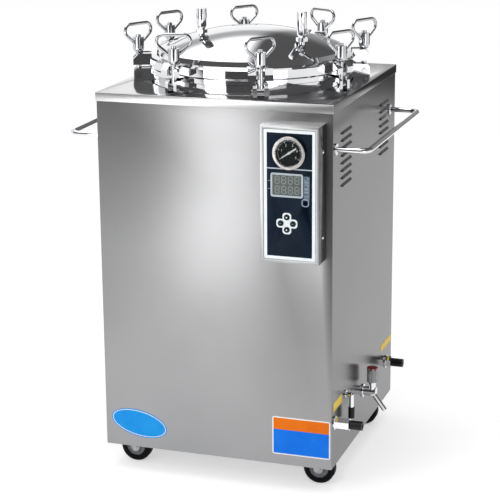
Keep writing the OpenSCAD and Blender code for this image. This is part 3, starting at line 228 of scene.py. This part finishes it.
# Smooths a CAD node's faces, then rounds its sharp edges by width, or splits them where width is 0
def shapeEdges(node, width):
    node.data.polygons.foreach_set("use_smooth", np.ones(len(node.data.polygons), dtype=bool))
    weld = node.modifiers.new("weld", "WELD")
    weld.merge_threshold = edges["weld"]
    if width > 0:
        bevel = node.modifiers.new("bevel", "BEVEL")
        bevel.width = width * mm
        bevel.segments = edges["segments"]
        bevel.limit_method = "ANGLE"
        bevel.angle_limit = math.radians(edges["sharp"])
        bevel.harden_normals = True
    else:
        split = node.modifiers.new("split", "EDGE_SPLIT")
        split.split_angle = math.radians(edges["sharp"])


# Gives a CAD node one material and rounded or crisp edges
def dress(name, material, width):
    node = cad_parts[name]
    node.data.materials.clear()
    node.data.materials.append(material)
    shapeEdges(node, width)


# The centres of a node's faces, one row each
def faceCentres(node):
    centres = np.empty(len(node.data.polygons) * 3)
    node.data.polygons.foreach_get("center", centres)
    return centres.reshape(-1, 3)


# Faces where the mask is true get a further material
def furtherMaterial(node, material, mask):
    node.data.materials.append(material)
    indices = np.empty(len(node.data.polygons), dtype=np.int32)
    node.data.polygons.foreach_get("material_index", indices)
    indices[mask] = len(node.data.materials) - 1
    node.data.polygons.foreach_set("material_index", indices)


# Each family's finish, and how far its edges are rounded in mm. A family is every node whose name starts
# with its key, so the gasket and the valves named after the lid are polished like it
dressing = {
    "front_panel": (steelFront, 0.6), "rear_panel": (steelFront, 0.6), "top_cover": (steelCover, 0.8),
    "left_side_panel": (steelSidePaintedShade, 0), "right_side_panel": (steelSidePaintedShade, 0), "floor_pan": (zincPlate, 0),
    "pressure_vessel": (steelInner, 0), "insulation_jacket": (whiteWool, 0), "heater_grid": (steelInner, 0),
    "heating_elements": (heaterSheath, 0), "sterilizing_basket": (steelInner, 0), "pipework": (copperPipe, 0),
    "rim_flange": (steelMirror, 0), "lug_pins": (steelBolt, 0), "lid": (steelMirror, 0),
    "swing_bolt": (steelBolt, 0), "ring_nut": (steelBolt, 0), "vent_valve_lever": (chromePlate, 0),
    "safety_valve_cap": (chromePlate, 0), "control_box": (steelBox, 0.8), "control_fascia": (navyPanel, 0.2),
    "display_board": (displayGrey, 0), "button": (keyBlack, 0.3), "gauge_case": (steelBezel, 0),
    "gauge_dial": (blackDial, 0), "gauge_lens": (clearGlass, 0), "gauge_needle": (dialWhite, 0),
    "side_handles": (chromePlate, 0), "hose_tails": (chromePlate, 0), "drain_valve_body": (chromePlate, 0),
    "drain_valve_knob": (knobGrey, 0.4), "cable_gland": (blackRubber, 0.4), "caster_plates": (zincPlate, 0),
    "caster_fork": (zincPlate, 0), "caster_wheel": (tyreRubber, 0),
}
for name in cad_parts:
    family = next(key for key in dressing if name.startswith(key))
    material, width = dressing[family]
    dress(name, material, width)

# The cover's folds are brushed, and darker than its top in painted shade: in front and behind like the front
# sheet, left and right like the sides.
# A face belongs to a fold where it lies within foldDepth of the cover's outside
foldDepth = 3 * mm
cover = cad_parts["top_cover"]
centres = faceCentres(cover)
frontOrRear = (centres[:, 1] < coverLow.y + foldDepth) | (centres[:, 1] > coverHigh.y - foldDepth)
leftOrRight = (centres[:, 0] < coverLow.x + foldDepth) | (centres[:, 0] > coverHigh.x - foldDepth)
furtherMaterial(cover, steelFoldPaintedShade, frontOrRear)
furtherMaterial(cover, steelSidePaintedShade, leftOrRight)

# The box's right side gets painted shade, darker than its front, and its top painted light: the faces within
# skinDepth of each
skinDepth = 0.5 * mm
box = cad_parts["control_box"]
centres = faceCentres(box)
furtherMaterial(box, steelBoxTopPaintedLight, centres[:, 2] > boxHigh.z - skinDepth)
furtherMaterial(box, steelBoxSidePaintedShade, centres[:, 0] > boxHigh.x - skinDepth)

# Tail ends are rubber beyond their unions, in mm from the side sheet, and the bent fitting ends in a rubber
# cap, capTop above the sheet's foot. The drain tail is what lies over drainBand in front of the middle
tailSetup = {"exhaustUnion": 16.5, "drainUnion": 37.5, "capTop": 116, "drainBand": 200}
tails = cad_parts["hose_tails"]
centres = faceCentres(tails)
isDrain = centres[:, 1] < midY - tailSetup["drainBand"] * mm
exhaustEnd = (centres[:, 1] > midY) & (centres[:, 0] > rightFace + tailSetup["exhaustUnion"] * mm)
drainEnd = isDrain & (centres[:, 0] > rightFace + tailSetup["drainUnion"] * mm)
capEnd = (centres[:, 1] < midY) & ~isDrain & (centres[:, 2] < panelFoot + tailSetup["capTop"] * mm)
furtherMaterial(tails, blackRubber, exhaustEnd | drainEnd | capEnd)

# The knob's upper part is its red cap
redCapHeight = 9 * mm
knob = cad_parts["drain_valve_knob"]
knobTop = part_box("drain_valve_knob")[1][2]
furtherMaterial(knob, knobRed, faceCentres(knob)[:, 2] > knobTop - redCapHeight)

# A wheel is a grey hub inside a rubber tyre
hubRadius = 23 * mm
for name in [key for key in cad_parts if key.startswith("caster_wheel_")]:
    low, high = [np.array(c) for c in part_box(name)]
    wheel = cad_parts[name]
    offset = faceCentres(wheel) - (low + high) / 2
    furtherMaterial(wheel, hubGrey, np.hypot(offset[:, 0], offset[:, 2]) < hubRadius)

# The display block stays grey-green. The board and its spacers, further behind the fascia, are green
boardBehind = 1 * mm
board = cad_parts["display_board"]
furtherMaterial(board, boardGreen, faceCentres(board)[:, 1] > fasciaHigh.y + boardBehind)
print("nodes dressed:", len(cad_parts))


# A mesh from points and faces, riding on a body
def meshPiece(name, points, faces, material, body, smooth=False):
    mesh = bpy.data.meshes.new(name)
    mesh.from_pydata(points.reshape(-1, 3).tolist(), [], faces)
    mesh.validate()
    mesh.polygons.foreach_set("use_smooth", np.full(len(mesh.polygons), smooth, dtype=bool))
    mesh.materials.append(material)
    mesh.update()
    piece = bpy.data.objects.new(name, mesh)
    bpy.context.scene.collection.objects.link(piece)
    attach(piece, body)


# A place on a face in four rows: its origin, the viewer's right, up, and out towards the viewer
def placeOn(x, y, z, side="front"):
    across, out = {"front": ((1, 0, 0), (0, -1, 0)), "right": ((0, 1, 0), (1, 0, 0)),
                   "left": ((0, -1, 0), (-1, 0, 0))}[side]
    return np.array([(x, y, z), across, (0, 0, 1), out], dtype=float)


# Points in space: the origin plus u to the right, v up and w outwards
def lift(at, u, v, w):
    u, v, w = np.broadcast_arrays(u, v, w)
    return at[0] + u[..., None] * at[1] + v[..., None] * at[2] + w[..., None] * at[3]


# A skin over rings of points: a quad joins two neighbours on one ring to the two above them. The first and
# last rings are closed with a face each, or joined to each other
def skin(name, rings, material, body="cabinet", smooth=False, joined=False):
    many, count = rings.shape[:2]
    first = np.arange(many if joined else many - 1)[:, None] * count
    above = (first + count) % (many * count)
    here = np.arange(count)[None, :]
    after = (here + 1) % count
    quads = np.stack([first + here, first + after, above + after, above + here], axis=-1)
    faces = quads.reshape(-1, 4).tolist()
    if not joined:
        faces += [here[0, ::-1].tolist(), (here[0] + (many - 1) * count).tolist()]
    meshPiece(name, rings, faces, material, body, smooth)


# Points round a rectangle with round corners: each corner's centre plus radius times (cos a, sin a)
def roundedOutline(width, height, radius, steps=8):
    a = np.radians(np.linspace(0, 90, steps + 1)[None, :] + 90 * np.arange(4)[:, None])
    sx, sy = np.array([1, -1, -1, 1])[:, None], np.array([1, 1, -1, -1])[:, None]
    u = sx * (width / 2 - radius) + radius * np.cos(a)
    v = sy * (height / 2 - radius) + radius * np.sin(a)
    return np.stack([u.ravel(), v.ravel()], axis=-1) * mm


# Points round an ellipse: half the width times cos a, half the height times sin a, turned by tilt
def ellipseOutline(width, height, tilt, steps=96):
    a = np.linspace(0, 2 * math.pi, steps, endpoint=False)
    u, v = width / 2 * np.cos(a), height / 2 * np.sin(a)
    c, s = math.cos(math.radians(tilt)), math.sin(math.radians(tilt))
    return np.stack([c * u - s * v, s * u + c * v], axis=-1) * mm


# How much of a plate's thickness its slanted rim takes, as a share
rimShare = 0.3


# A thin plate: the outline at its foot and where the rim starts, and on top drawn in as far as the rim
# is high
def plate(name, outline, thick, at, material, body="cabinet"):
    reach = np.linalg.norm(outline, axis=1, keepdims=True)
    drawn = outline * (1 - rimShare * thick * mm / reach)
    rings = np.stack([outline, outline, drawn])
    heights = np.array([0.0, 1 - rimShare, 1.0])[:, None] * thick * mm
    skin(name, lift(at, rings[..., 0], rings[..., 1], heights), material, body)


# A flat band between an outer and an inner outline: up the outside, across, and down the inside
def band(name, outer, inner, thick, at, material, body="cabinet"):
    rings = np.stack([outer, outer, inner, inner])
    heights = np.array([0.0, 1.0, 1.0, 0.0])[:, None] * thick * mm
    skin(name, lift(at, rings[..., 0], rings[..., 1], heights), material, body, joined=True)


# A turned piece from (radius, out) pairs: each ring is radius times (cos a, sin a)
def turned(name, profile, at, material, body="cabinet", steps=48):
    a = np.linspace(0, 2 * math.pi, steps, endpoint=False)[None, :]
    radius, out = np.array(profile).T[:, :, None] * mm
    skin(name, lift(at, radius * np.cos(a), radius * np.sin(a), out), material, body, smooth=True)


# Many flat bars in one mesh: each outline at 0 and at thick, with walls between and a face at both ends
def bars(name, outlines, thick, at, material, body="cabinet"):
    many, count = outlines.shape[:2]
    heights = np.array([0.0, thick * mm])[None, :, None]
    points = lift(at, outlines[:, None, :, 0], outlines[:, None, :, 1], heights)
    low = np.arange(many)[:, None] * 2 * count + np.arange(count)
    after = np.roll(low, -1, axis=1)
    walls = np.stack([low, after, after + count, low + count], axis=-1).reshape(-1, 4)
    faces = walls.tolist() + low[:, ::-1].tolist() + (low + count).tolist()
    meshPiece(name, points, faces, material, body)


# Labels on the sheet steel, all plain. Each layer stands higher than the one under it by layerStep, a
# share of the lowest one's thickness
labelThick = 0.25
layerStep = 0.3


# A place on the front sheet, x mm from the middle and up mm above the sheet's foot
def frontAt(x, up):
    return placeOn(midX + x * mm, frontFace, panelFoot + up * mm)


# The oval's layers: how much smaller each outline is than the lowest, and its vinyl
oval = {"x": -194, "up": 59.7, "width": 140.8, "height": 66, "tilt": -10.3,
        "layers": {"edge": (0, vinylCyan), "rim": (5, vinylWhite), "field": (8, vinylCyan)}}
ovalAt = frontAt(oval["x"], oval["up"])
for k, (layer, (inset, material)) in enumerate(oval["layers"].items()):
    outline = ellipseOutline(oval["width"] - inset, oval["height"] - inset, oval["tilt"])
    plate(f"oval_label_{layer}", outline, labelThick * (1 + layerStep * k), ovalAt, material)

# The large label, in mm from the sheet's middle and foot: a white base under a header and a body
label = {"left": 136.5, "right": 275, "foot": 24.5, "top": 116.8, "rim": 2.8, "header": 28, "corner": 5,
         "fieldCorner": 1}
labelX = (label["left"] + label["right"]) / 2
labelWidth = label["right"] - label["left"]
labelHeight = label["top"] - label["foot"]
fieldWidth = labelWidth - 2 * label["rim"]
fieldHeight = labelHeight - 2 * label["rim"] - label["header"]
fieldThick = labelThick * (1 + layerStep)
plate("label_base", roundedOutline(labelWidth, labelHeight, label["corner"]), labelThick,
      frontAt(labelX, (label["foot"] + label["top"]) / 2), vinylWhite)
plate("label_header", roundedOutline(fieldWidth, label["header"], label["fieldCorner"]), fieldThick,
      frontAt(labelX, label["top"] - label["rim"] - label["header"] / 2), vinylOrange)
plate("label_body", roundedOutline(fieldWidth, fieldHeight, label["fieldCorner"]), fieldThick,
      frontAt(labelX, label["foot"] + label["rim"] + fieldHeight / 2), vinylBlue)

# Labels on the right side: start and end in mm behind the middle, foot and top above the sheet's foot. The
# printed rim lies between two outlines, each an inset smaller than the label, with a corner of its own
sideLabels = {"upper": (170, 272, 135.5, 155), "lower": (-264, -190, 134.5, 157)}
sideStyle = {"corner": 2, "rim": ((3, 1.5), (4.6, 1))}
for name, (start, end, foot, top) in sideLabels.items():
    at = placeOn(rightFace, midY + (start + end) / 2 * mm, panelFoot + (foot + top) / 2 * mm, "right")
    width, height = end - start, top - foot
    whole = roundedOutline(width, height, sideStyle["corner"])
    outer, inner = [roundedOutline(width - inset, height - inset, c) for inset, c in sideStyle["rim"]]
    plate(f"yellow_label_{name}", whole, labelThick, at, vinylYellow)
    band(f"yellow_label_rim_{name}", outer, inner, labelThick * (1 + layerStep), at, printGrey)
print("labels placed")

# Print on the fascia: border, divider, display frame, status column and key field
fasciaX = (fasciaLow.x + fasciaHigh.x) / 2
fasciaZ = (fasciaLow.z + fasciaHigh.z) / 2
fasciaWidth = (fasciaHigh.x - fasciaLow.x) / mm
fasciaHeight = (fasciaHigh.z - fasciaLow.z) / mm
printThick = 0.12


# A place on the fascia, x and up mm from its middle
def fasciaAt(x, up):
    return placeOn(fasciaX + x * mm, fasciaLow.y, fasciaZ + up * mm)


# The border runs round just inside the fascia's edge
border = {"clear": 0.4, "strip": 7, "outerCorner": 2, "innerCorner": 0.8}
outerWidth, outerHeight = fasciaWidth - border["clear"], fasciaHeight - border["clear"]
innerWidth, innerHeight = outerWidth - 2 * border["strip"], outerHeight - 2 * border["strip"]
band("fascia_border", roundedOutline(outerWidth, outerHeight, border["outerCorner"]),
     roundedOutline(innerWidth, innerHeight, border["innerCorner"]), printThick, fasciaAt(0, 0), printWhite)

# A line across the fascia, between the display and the gauge
divider = {"up": 59, "height": 2.6, "corner": 0.5}
plate("fascia_divider", roundedOutline(innerWidth, divider["height"], divider["corner"]), printThick,
      fasciaAt(0, divider["up"]), printPale)

# The display's frame laps over the window's edge and is several prints high
display = {"x": -6, "up": 22.5, "width": 66, "height": 45.5, "frame": 4, "frameCorner": 5, "lap": 0.6,
           "windowCorner": 1.5, "prints": 4}
frameOuter = roundedOutline(display["width"] + 2 * display["frame"], display["height"] + 2 * display["frame"],
                            display["frameCorner"])
frameInner = roundedOutline(display["width"] - display["lap"], display["height"] - display["lap"],
                            display["windowCorner"])
displayAt = fasciaAt(display["x"], display["up"])
band("display_frame", frameOuter, frameInner, display["prints"] * printThick, displayAt, printPale)


# A six-sided stroke lying along u: its ends are points, and between them it reaches half a bar up and down
def stroke(length, bar):
    half = length / 2
    return np.array([(-half, 0), (bar / 2 - half, -bar / 2), (half - bar / 2, -bar / 2), (half, 0),
                     (half - bar / 2, bar / 2), (bar / 2 - half, bar / 2)])


# Seven strokes of a figure: three lying, and four upright, which are lying ones turned by a quarter
figures = {"rows": (11, -11), "perRow": 4, "pitch": 15, "size": (9, 16), "bar": 2.0, "gap": 1, "behind": 1.5,
           "thick": 0.1}
digitWidth, digitHeight = figures["size"]
lying = stroke(digitWidth - figures["gap"], figures["bar"])
upright = stroke(digitHeight / 2 - figures["gap"], figures["bar"])[:, ::-1] * (-1, 1)
lyingPlaces = np.array([(0, digitHeight / 2), (0, 0), (0, -digitHeight / 2)])
uprightPlaces = np.array([(sx * digitWidth / 2, sy * digitHeight / 4) for sx in (-1, 1) for sy in (-1, 1)])
figure = np.concatenate([lying[None] + lyingPlaces[:, None], upright[None] + uprightPlaces[:, None]])
columns = (np.arange(figures["perRow"]) - (figures["perRow"] - 1) / 2) * figures["pitch"]
spots = np.array([(u, v) for v in figures["rows"] for u in columns])
digits = (figure[None] + spots[:, None, None]).reshape(-1, len(lying), 2) * mm
figuresAt = placeOn(displayAt[0, 0], fasciaLow.y + figures["behind"] * mm, displayAt[0, 2])
bars("display_figures", digits, figures["thick"], figuresAt, segmentPale)

# The status column and what stands in it: each size is a width, a height and a corner
status = {"x": 39, "up": 18, "size": (13, 54, 3), "bars": 6, "bar": (9, 3, 1), "pitch": 7.5, "first": 39.5,
          "ringX": 36, "ringUp": -14, "ringOuter": (17, 18, 6), "ringInner": (12, 13, 4), "prints": 2}
statusAt = fasciaAt(status["x"], status["up"])
statusThick = status["prints"] * printThick
plate("status_column", roundedOutline(*status["size"]), printThick, statusAt, printGrey)
barUps = (status["first"] - status["up"] - status["pitch"] * np.arange(status["bars"])) * mm
barPlaces = np.stack([np.zeros(status["bars"]), barUps], axis=-1)
statusBars = roundedOutline(*status["bar"])[None] + barPlaces[:, None]
bars("status_bars", statusBars, statusThick, statusAt, printSteel)
band("status_ring", roundedOutline(*status["ringOuter"]), roundedOutline(*status["ringInner"]), statusThick,
     fasciaAt(status["ringX"], status["ringUp"]), printSteel)

# Two short marks beside the display
ticks = {"x": -47, "up": 31, "size": (5, 2, 0.5), "apart": 18}
tick = roundedOutline(*ticks["size"])
bars("fascia_ticks", np.stack([tick, tick - (0, ticks["apart"] * mm)]), printThick,
     fasciaAt(ticks["x"], ticks["up"]), printGrey)

# Four lobes round the keys, each higher than the last by a share of a print, and a centre over all of them
keys = {"x": -6, "up": -63, "pitch": 14, "lobe": 20, "corner": 7, "hole": 13, "holeCorner": 6.4, "step": 0.1,
        "centre": (13, 13, 3), "centrePrints": 1.6}
lobe = roundedOutline(keys["lobe"], keys["lobe"], keys["corner"])
hole = roundedOutline(keys["hole"], keys["hole"], keys["holeCorner"])
for k, (du, dv) in enumerate([(0, 1), (0, -1), (-1, 0), (1, 0)]):
    at = fasciaAt(keys["x"] + du * keys["pitch"], keys["up"] + dv * keys["pitch"])
    band(f"key_lobe_{k + 1}", lobe, hole, printThick * (1 + keys["step"] * k), at, printWhite)
plate("key_centre", roundedOutline(*keys["centre"]), keys["centrePrints"] * printThick,
      fasciaAt(keys["x"], keys["up"]), printWhite)

# Signs on the keys: a dot on the upper and the lower one, a bar on the left and the right one
sign = {"dot": [(1.7, 0), (1.7, 0.15), (1.2, 0.25)], "dotSteps": 24, "bar": (5, 1.4, 0.4), "barThick": 0.15}
keyBar = roundedOutline(*sign["bar"])
for way in ("up", "down", "left", "right"):
    low, high = [Vector(c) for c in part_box(f"button_{way}_key")]
    at = placeOn((low.x + high.x) / 2, low.y, (low.z + high.z) / 2)
    if way in ("up", "down"):
        turned(f"key_dot_{way}", sign["dot"], at, printWhite, f"button_{way}", sign["dotSteps"])
    else:
        plate(f"key_bar_{way}", keyBar, sign["barThick"], at, printGrey, f"button_{way}")
print("fascia printed")

# Dial marks: a tick every fiftieth of the sweep, longer and wider at the figures. Reaches are shares of the
# dial's radius, and each pair is for a plain tick and for one at a figure
sweep = {"zero": 214, "turn": 248, "ticks": 50, "figures": 5, "inner": (0.87, 0.80), "outer": 0.94,
         "halfWidth": (0.22, 0.5), "thick": 0.1, "figureSize": 7.5, "figureReach": 0.62}
dialLow, dialHigh = [Vector(c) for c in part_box("gauge_dial")]
dialRadius = (dialHigh.x - dialLow.x) / 2
dialAt = placeOn((dialLow.x + dialHigh.x) / 2, dialLow.y, (dialLow.z + dialHigh.z) / 2)
steps = np.arange(sweep["ticks"] + 1)
long = (steps % (sweep["ticks"] // sweep["figures"]) == 0).astype(int)
angle = np.radians(sweep["zero"] - sweep["turn"] * steps / sweep["ticks"])
inner = dialRadius * np.array(sweep["inner"])[long]
outer = np.full(len(steps), dialRadius * sweep["outer"])
half = np.array(sweep["halfWidth"])[long] * mm
radial = np.stack([inner, outer, outer, inner], axis=-1)
sideways = np.stack([-half, -half, half, half], axis=-1)
c, s = np.cos(angle)[:, None], np.sin(angle)[:, None]
tickOutlines = np.stack([radial * c - sideways * s, radial * s + sideways * c], axis=-1)
bars("dial_ticks", tickOutlines, sweep["thick"], dialAt, dialWhite)

# Figures stand on the dial: text thickened to both sides, and lifted by half of its thickness
figureHalf = sweep["thick"] / 2 * mm
for k in range(sweep["figures"] + 1):
    curve = bpy.data.curves.new(f"dial_figure_{k}", "FONT")
    curve.body = str(k)
    curve.size = sweep["figureSize"] * mm
    curve.extrude = figureHalf
    curve.align_x = "CENTER"
    curve.align_y = "CENTER"
    written = bpy.data.objects.new("written", curve)
    bpy.context.scene.collection.objects.link(written)
    mesh = bpy.data.meshes.new_from_object(written)
    bpy.data.objects.remove(written)
    a = math.radians(sweep["zero"] - sweep["turn"] * k / sweep["figures"])
    reach = dialRadius * sweep["figureReach"]
    spot = lift(dialAt, reach * math.cos(a), reach * math.sin(a), figureHalf)
    mesh.transform(Matrix.Translation(spot.tolist()) @ Matrix.Rotation(math.radians(90), 4, "X"))
    mesh.materials.clear()
    mesh.materials.append(dialWhite)
    mesh.name = f"dial_figure_{k}"
    piece = bpy.data.objects.new(f"dial_figure_{k}", mesh)
    bpy.context.scene.collection.objects.link(piece)
    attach(piece, "cabinet")

# Dome-headed screws, two on each side of the control box, with their heights above the sheet's foot
screws = {"profile": [(4.2, 0.0), (4.0, 1.0), (3.2, 1.9), (1.8, 2.5), (0.5, 2.7)], "ups": (749.7, 558.4)}
screwY = (boxLow.y + frontFace) / 2
for k, up in enumerate(screws["ups"]):
    for side, x in (("right", boxHigh.x), ("left", boxLow.x)):
        at = placeOn(x, screwY, panelFoot + up * mm, side)
        turned(f"box_screw_{side}_{k + 1}", screws["profile"], at, chromePlate)
print("dial marked, screws set")

# Floor: white where it is seen straight, through glass or in a mirror, by a little light of its own, so that
# the shadow stays. Seen in a mirror, it falls dark in front and behind, where a studio's paper ends, so
# many metres away
paper = {"reach": 30.0, "white": 0.9, "dark": 0.06, "ownLight": 0.5, "endSpan": (4.1, 4.9)}
corners = [(-1, -1), (1, -1), (1, 1), (-1, 1)]
floorMesh = bpy.data.meshes.new("floor")
floorMesh.from_pydata([(x * paper["reach"], y * paper["reach"], 0) for x, y in corners], [], [(0, 1, 2, 3)])
floor = bpy.data.objects.new("floor", floorMesh)
bpy.context.scene.collection.objects.link(floor)
floorMaterial = bpy.data.materials.new("white studio floor")
floorMaterial.use_nodes = True
floorTree = floorMaterial.node_tree
floorShader = floorTree.nodes["Principled BSDF"]
floorShader.inputs["Roughness"].default_value = 1.0
floorShader.inputs["Specular IOR Level"].default_value = 0.0
floorRays = addNode(floorTree, "ShaderNodeLightPath", {}).outputs
straight = addNode(floorTree, "ShaderNodeMath", {
    0: floorRays["Is Camera Ray"], 1: floorRays["Is Transmission Ray"]}, operation="MAXIMUM").outputs[0]
seen = addNode(floorTree, "ShaderNodeMath", {
    0: straight, 1: floorRays["Is Glossy Ray"]}, operation="MAXIMUM").outputs[0]
ownLight = addNode(floorTree, "ShaderNodeMath", {
    0: seen, 1: paper["ownLight"]}, operation="MULTIPLY").outputs[0]
floorPlace = addNode(floorTree, "ShaderNodeTexCoord", {}).outputs["Object"]
floorAxes = addNode(floorTree, "ShaderNodeSeparateXYZ", {"Vector": floorPlace}).outputs
apart = addNode(floorTree, "ShaderNodeMath", {0: floorAxes["Y"]}, operation="ABSOLUTE").outputs[0]
paperEnd = addNode(floorTree, "ShaderNodeMapRange", {
    "Value": apart, "From Min": paper["endSpan"][0], "From Max": paper["endSpan"][1]},
    interpolation_type="SMOOTHSTEP").outputs["Result"]
darkened = addNode(floorTree, "ShaderNodeMath", {
    0: paperEnd, 1: floorRays["Is Glossy Ray"]}, operation="MULTIPLY").outputs[0]
shade = addNode(floorTree, "ShaderNodeMix", {"Factor": darkened}, data_type="RGBA")
shade.inputs["A"].default_value = (*[paper["white"]] * 3, 1.0)
shade.inputs["B"].default_value = (*[paper["dark"]] * 3, 1.0)
floorTree.links.new(shade.outputs["Result"], floorShader.inputs["Base Color"])
floorTree.links.new(shade.outputs["Result"], floorShader.inputs["Emission Color"])
floorTree.links.new(ownLight, floorShader.inputs["Emission Strength"])
floorMesh.materials.append(floorMaterial)

# World: even for diffuse light and white to the camera. Mirrors see a room that is bright on the left,
# greyer there between wall and ceiling, and dim on the right, where it darkens upwards. At the camera's
# side it is nearly dark, up to the ceiling. Each span is where one level passes into the next
room = {"diffuse": 0.6, "white": 1.0, "near": 0.1, "bright": 1.06, "brightMid": 0.5, "midSpan": (0.29, 0.38),
        "brightHigh": 1.8, "highlightSpan": (0.44, 0.6), "dimLow": 0.33, "dimHigh": 0.1,
        "dimSpan": (0.2, 0.45), "left": (-0.947, -0.32, -0.15), "leftSpan": (-0.15, -0.07),
        "farSpan": (-0.2, 0.25), "highSpan": (0.55, 0.8)}
world = bpy.data.worlds.new("studio")
world.use_nodes = True
worldTree = world.node_tree


# A level that passes smoothly from start to end while a coordinate crosses a span
def passLevel(start, end, coordinate, span):
    passed = addNode(worldTree, "ShaderNodeMapRange", {
        "Value": coordinate, "From Min": span[0], "From Max": span[1]}, interpolation_type="SMOOTHSTEP")
    return addNode(worldTree, "ShaderNodeMix", {
        "Factor": passed.outputs["Result"], "A": start, "B": end}).outputs["Result"]


direction = addNode(worldTree, "ShaderNodeTexCoord", {}).outputs["Generated"]
axes = addNode(worldTree, "ShaderNodeSeparateXYZ", {"Vector": direction}).outputs
leftward = addNode(worldTree, "ShaderNodeVectorMath", {
    0: direction, 1: room["left"]}, operation="DOT_PRODUCT").outputs["Value"]
dimLevel = passLevel(room["dimLow"], room["dimHigh"], axes["Z"], room["dimSpan"])
wallLevel = passLevel(room["bright"], room["brightMid"], axes["Z"], room["midSpan"])
brightLevel = passLevel(wallLevel, room["brightHigh"], axes["Z"], room["highlightSpan"])
roomLevel = passLevel(dimLevel, brightLevel, leftward, room["leftSpan"])
clearness = addNode(worldTree, "ShaderNodeMath", {
    0: passLevel(0.0, 1.0, axes["Y"], room["farSpan"]),
    1: passLevel(0.0, 1.0, axes["Z"], room["highSpan"])}, operation="MAXIMUM").outputs[0]
mirrorLevel = addNode(worldTree, "ShaderNodeMix", {
    "Factor": clearness, "A": room["near"], "B": roomLevel}).outputs["Result"]
worldRays = addNode(worldTree, "ShaderNodeLightPath", {}).outputs
plainLevel = addNode(worldTree, "ShaderNodeMix", {
    "Factor": worldRays["Is Camera Ray"], "A": room["diffuse"], "B": room["white"]}).outputs["Result"]
level = addNode(worldTree, "ShaderNodeMix", {
    "Factor": worldRays["Is Glossy Ray"], "A": plainLevel, "B": mirrorLevel}).outputs["Result"]
worldTree.links.new(level, worldTree.nodes["Background"].inputs["Strength"])
worldTree.nodes["Background"].inputs["Color"].default_value = (1.0, 1.0, 1.0, 1.0)
bpy.context.scene.world = world

# Rectangular lamps that the camera doesn't see, in metres and watts. The strip stands where the front sheet
# mirrors it to the camera, so the sheet brightens up its middle
softboxes = {
    "strip softbox": {"place": (-0.53, -1.42, 0.81), "aim": (-0.05, frontFace, 0.81), "size": (0.62, 1.24),
                      "power": 7.6},
    "right softbox": {"place": (2.0, -2.0, 0.6), "aim": (midX, midY, 0.95), "size": (1.1, 1.0), "power": 4.5},
    "overhead softbox": {"place": (0.0, -0.6, 3.4), "aim": (midX, midY, 0.5), "size": (2.6, 2.6),
                         "power": 20.0}}
for name, softbox in softboxes.items():
    light = bpy.data.lights.new(name, "AREA")
    light.shape = "RECTANGLE"
    light.size, light.size_y = softbox["size"]
    light.energy = softbox["power"]
    lamp = bpy.data.objects.new(name, light)
    bpy.context.scene.collection.objects.link(lamp)
    beam = Vector(softbox["aim"]) - Vector(softbox["place"])
    turn = beam.to_track_quat("-Z", "Y").to_matrix().to_4x4()
    lamp.matrix_world = Matrix.Translation(softbox["place"]) @ turn
    lamp.visible_camera = False
print("floor, room and lamps set")

# The camera stands to the front right and a little above, at the photograph's angle
shot = {"azimuth": 18.68, "elevation": 15.64, "roll": -0.44, "distance": 4.123, "lens": 122.5, "sensor": 36.0,
        "aimX": -8.4, "aimZ": 489.8}
azimuth, elevation = math.radians(shot["azimuth"]), math.radians(shot["elevation"])
aim = Vector((midX + shot["aimX"] * mm, midY, shot["aimZ"] * mm))
back = Vector((math.sin(azimuth) * math.cos(elevation), -math.cos(azimuth) * math.cos(elevation),
               math.sin(elevation)))
cameraData = bpy.data.cameras.new("camera")
cameraData.lens = shot["lens"]
cameraData.sensor_width = shot["sensor"]
camera = bpy.data.objects.new("camera", cameraData)
bpy.context.scene.collection.objects.link(camera)
turn = back.to_track_quat("Z", "Y").to_matrix().to_4x4()
roll = Matrix.Rotation(math.radians(shot["roll"]), 4, "Z")
camera.matrix_world = Matrix.Translation(aim + back * shot["distance"]) @ turn @ roll
bpy.context.scene.camera = camera
bpy.context.scene.view_settings.view_transform = "Standard"
print("camera set")
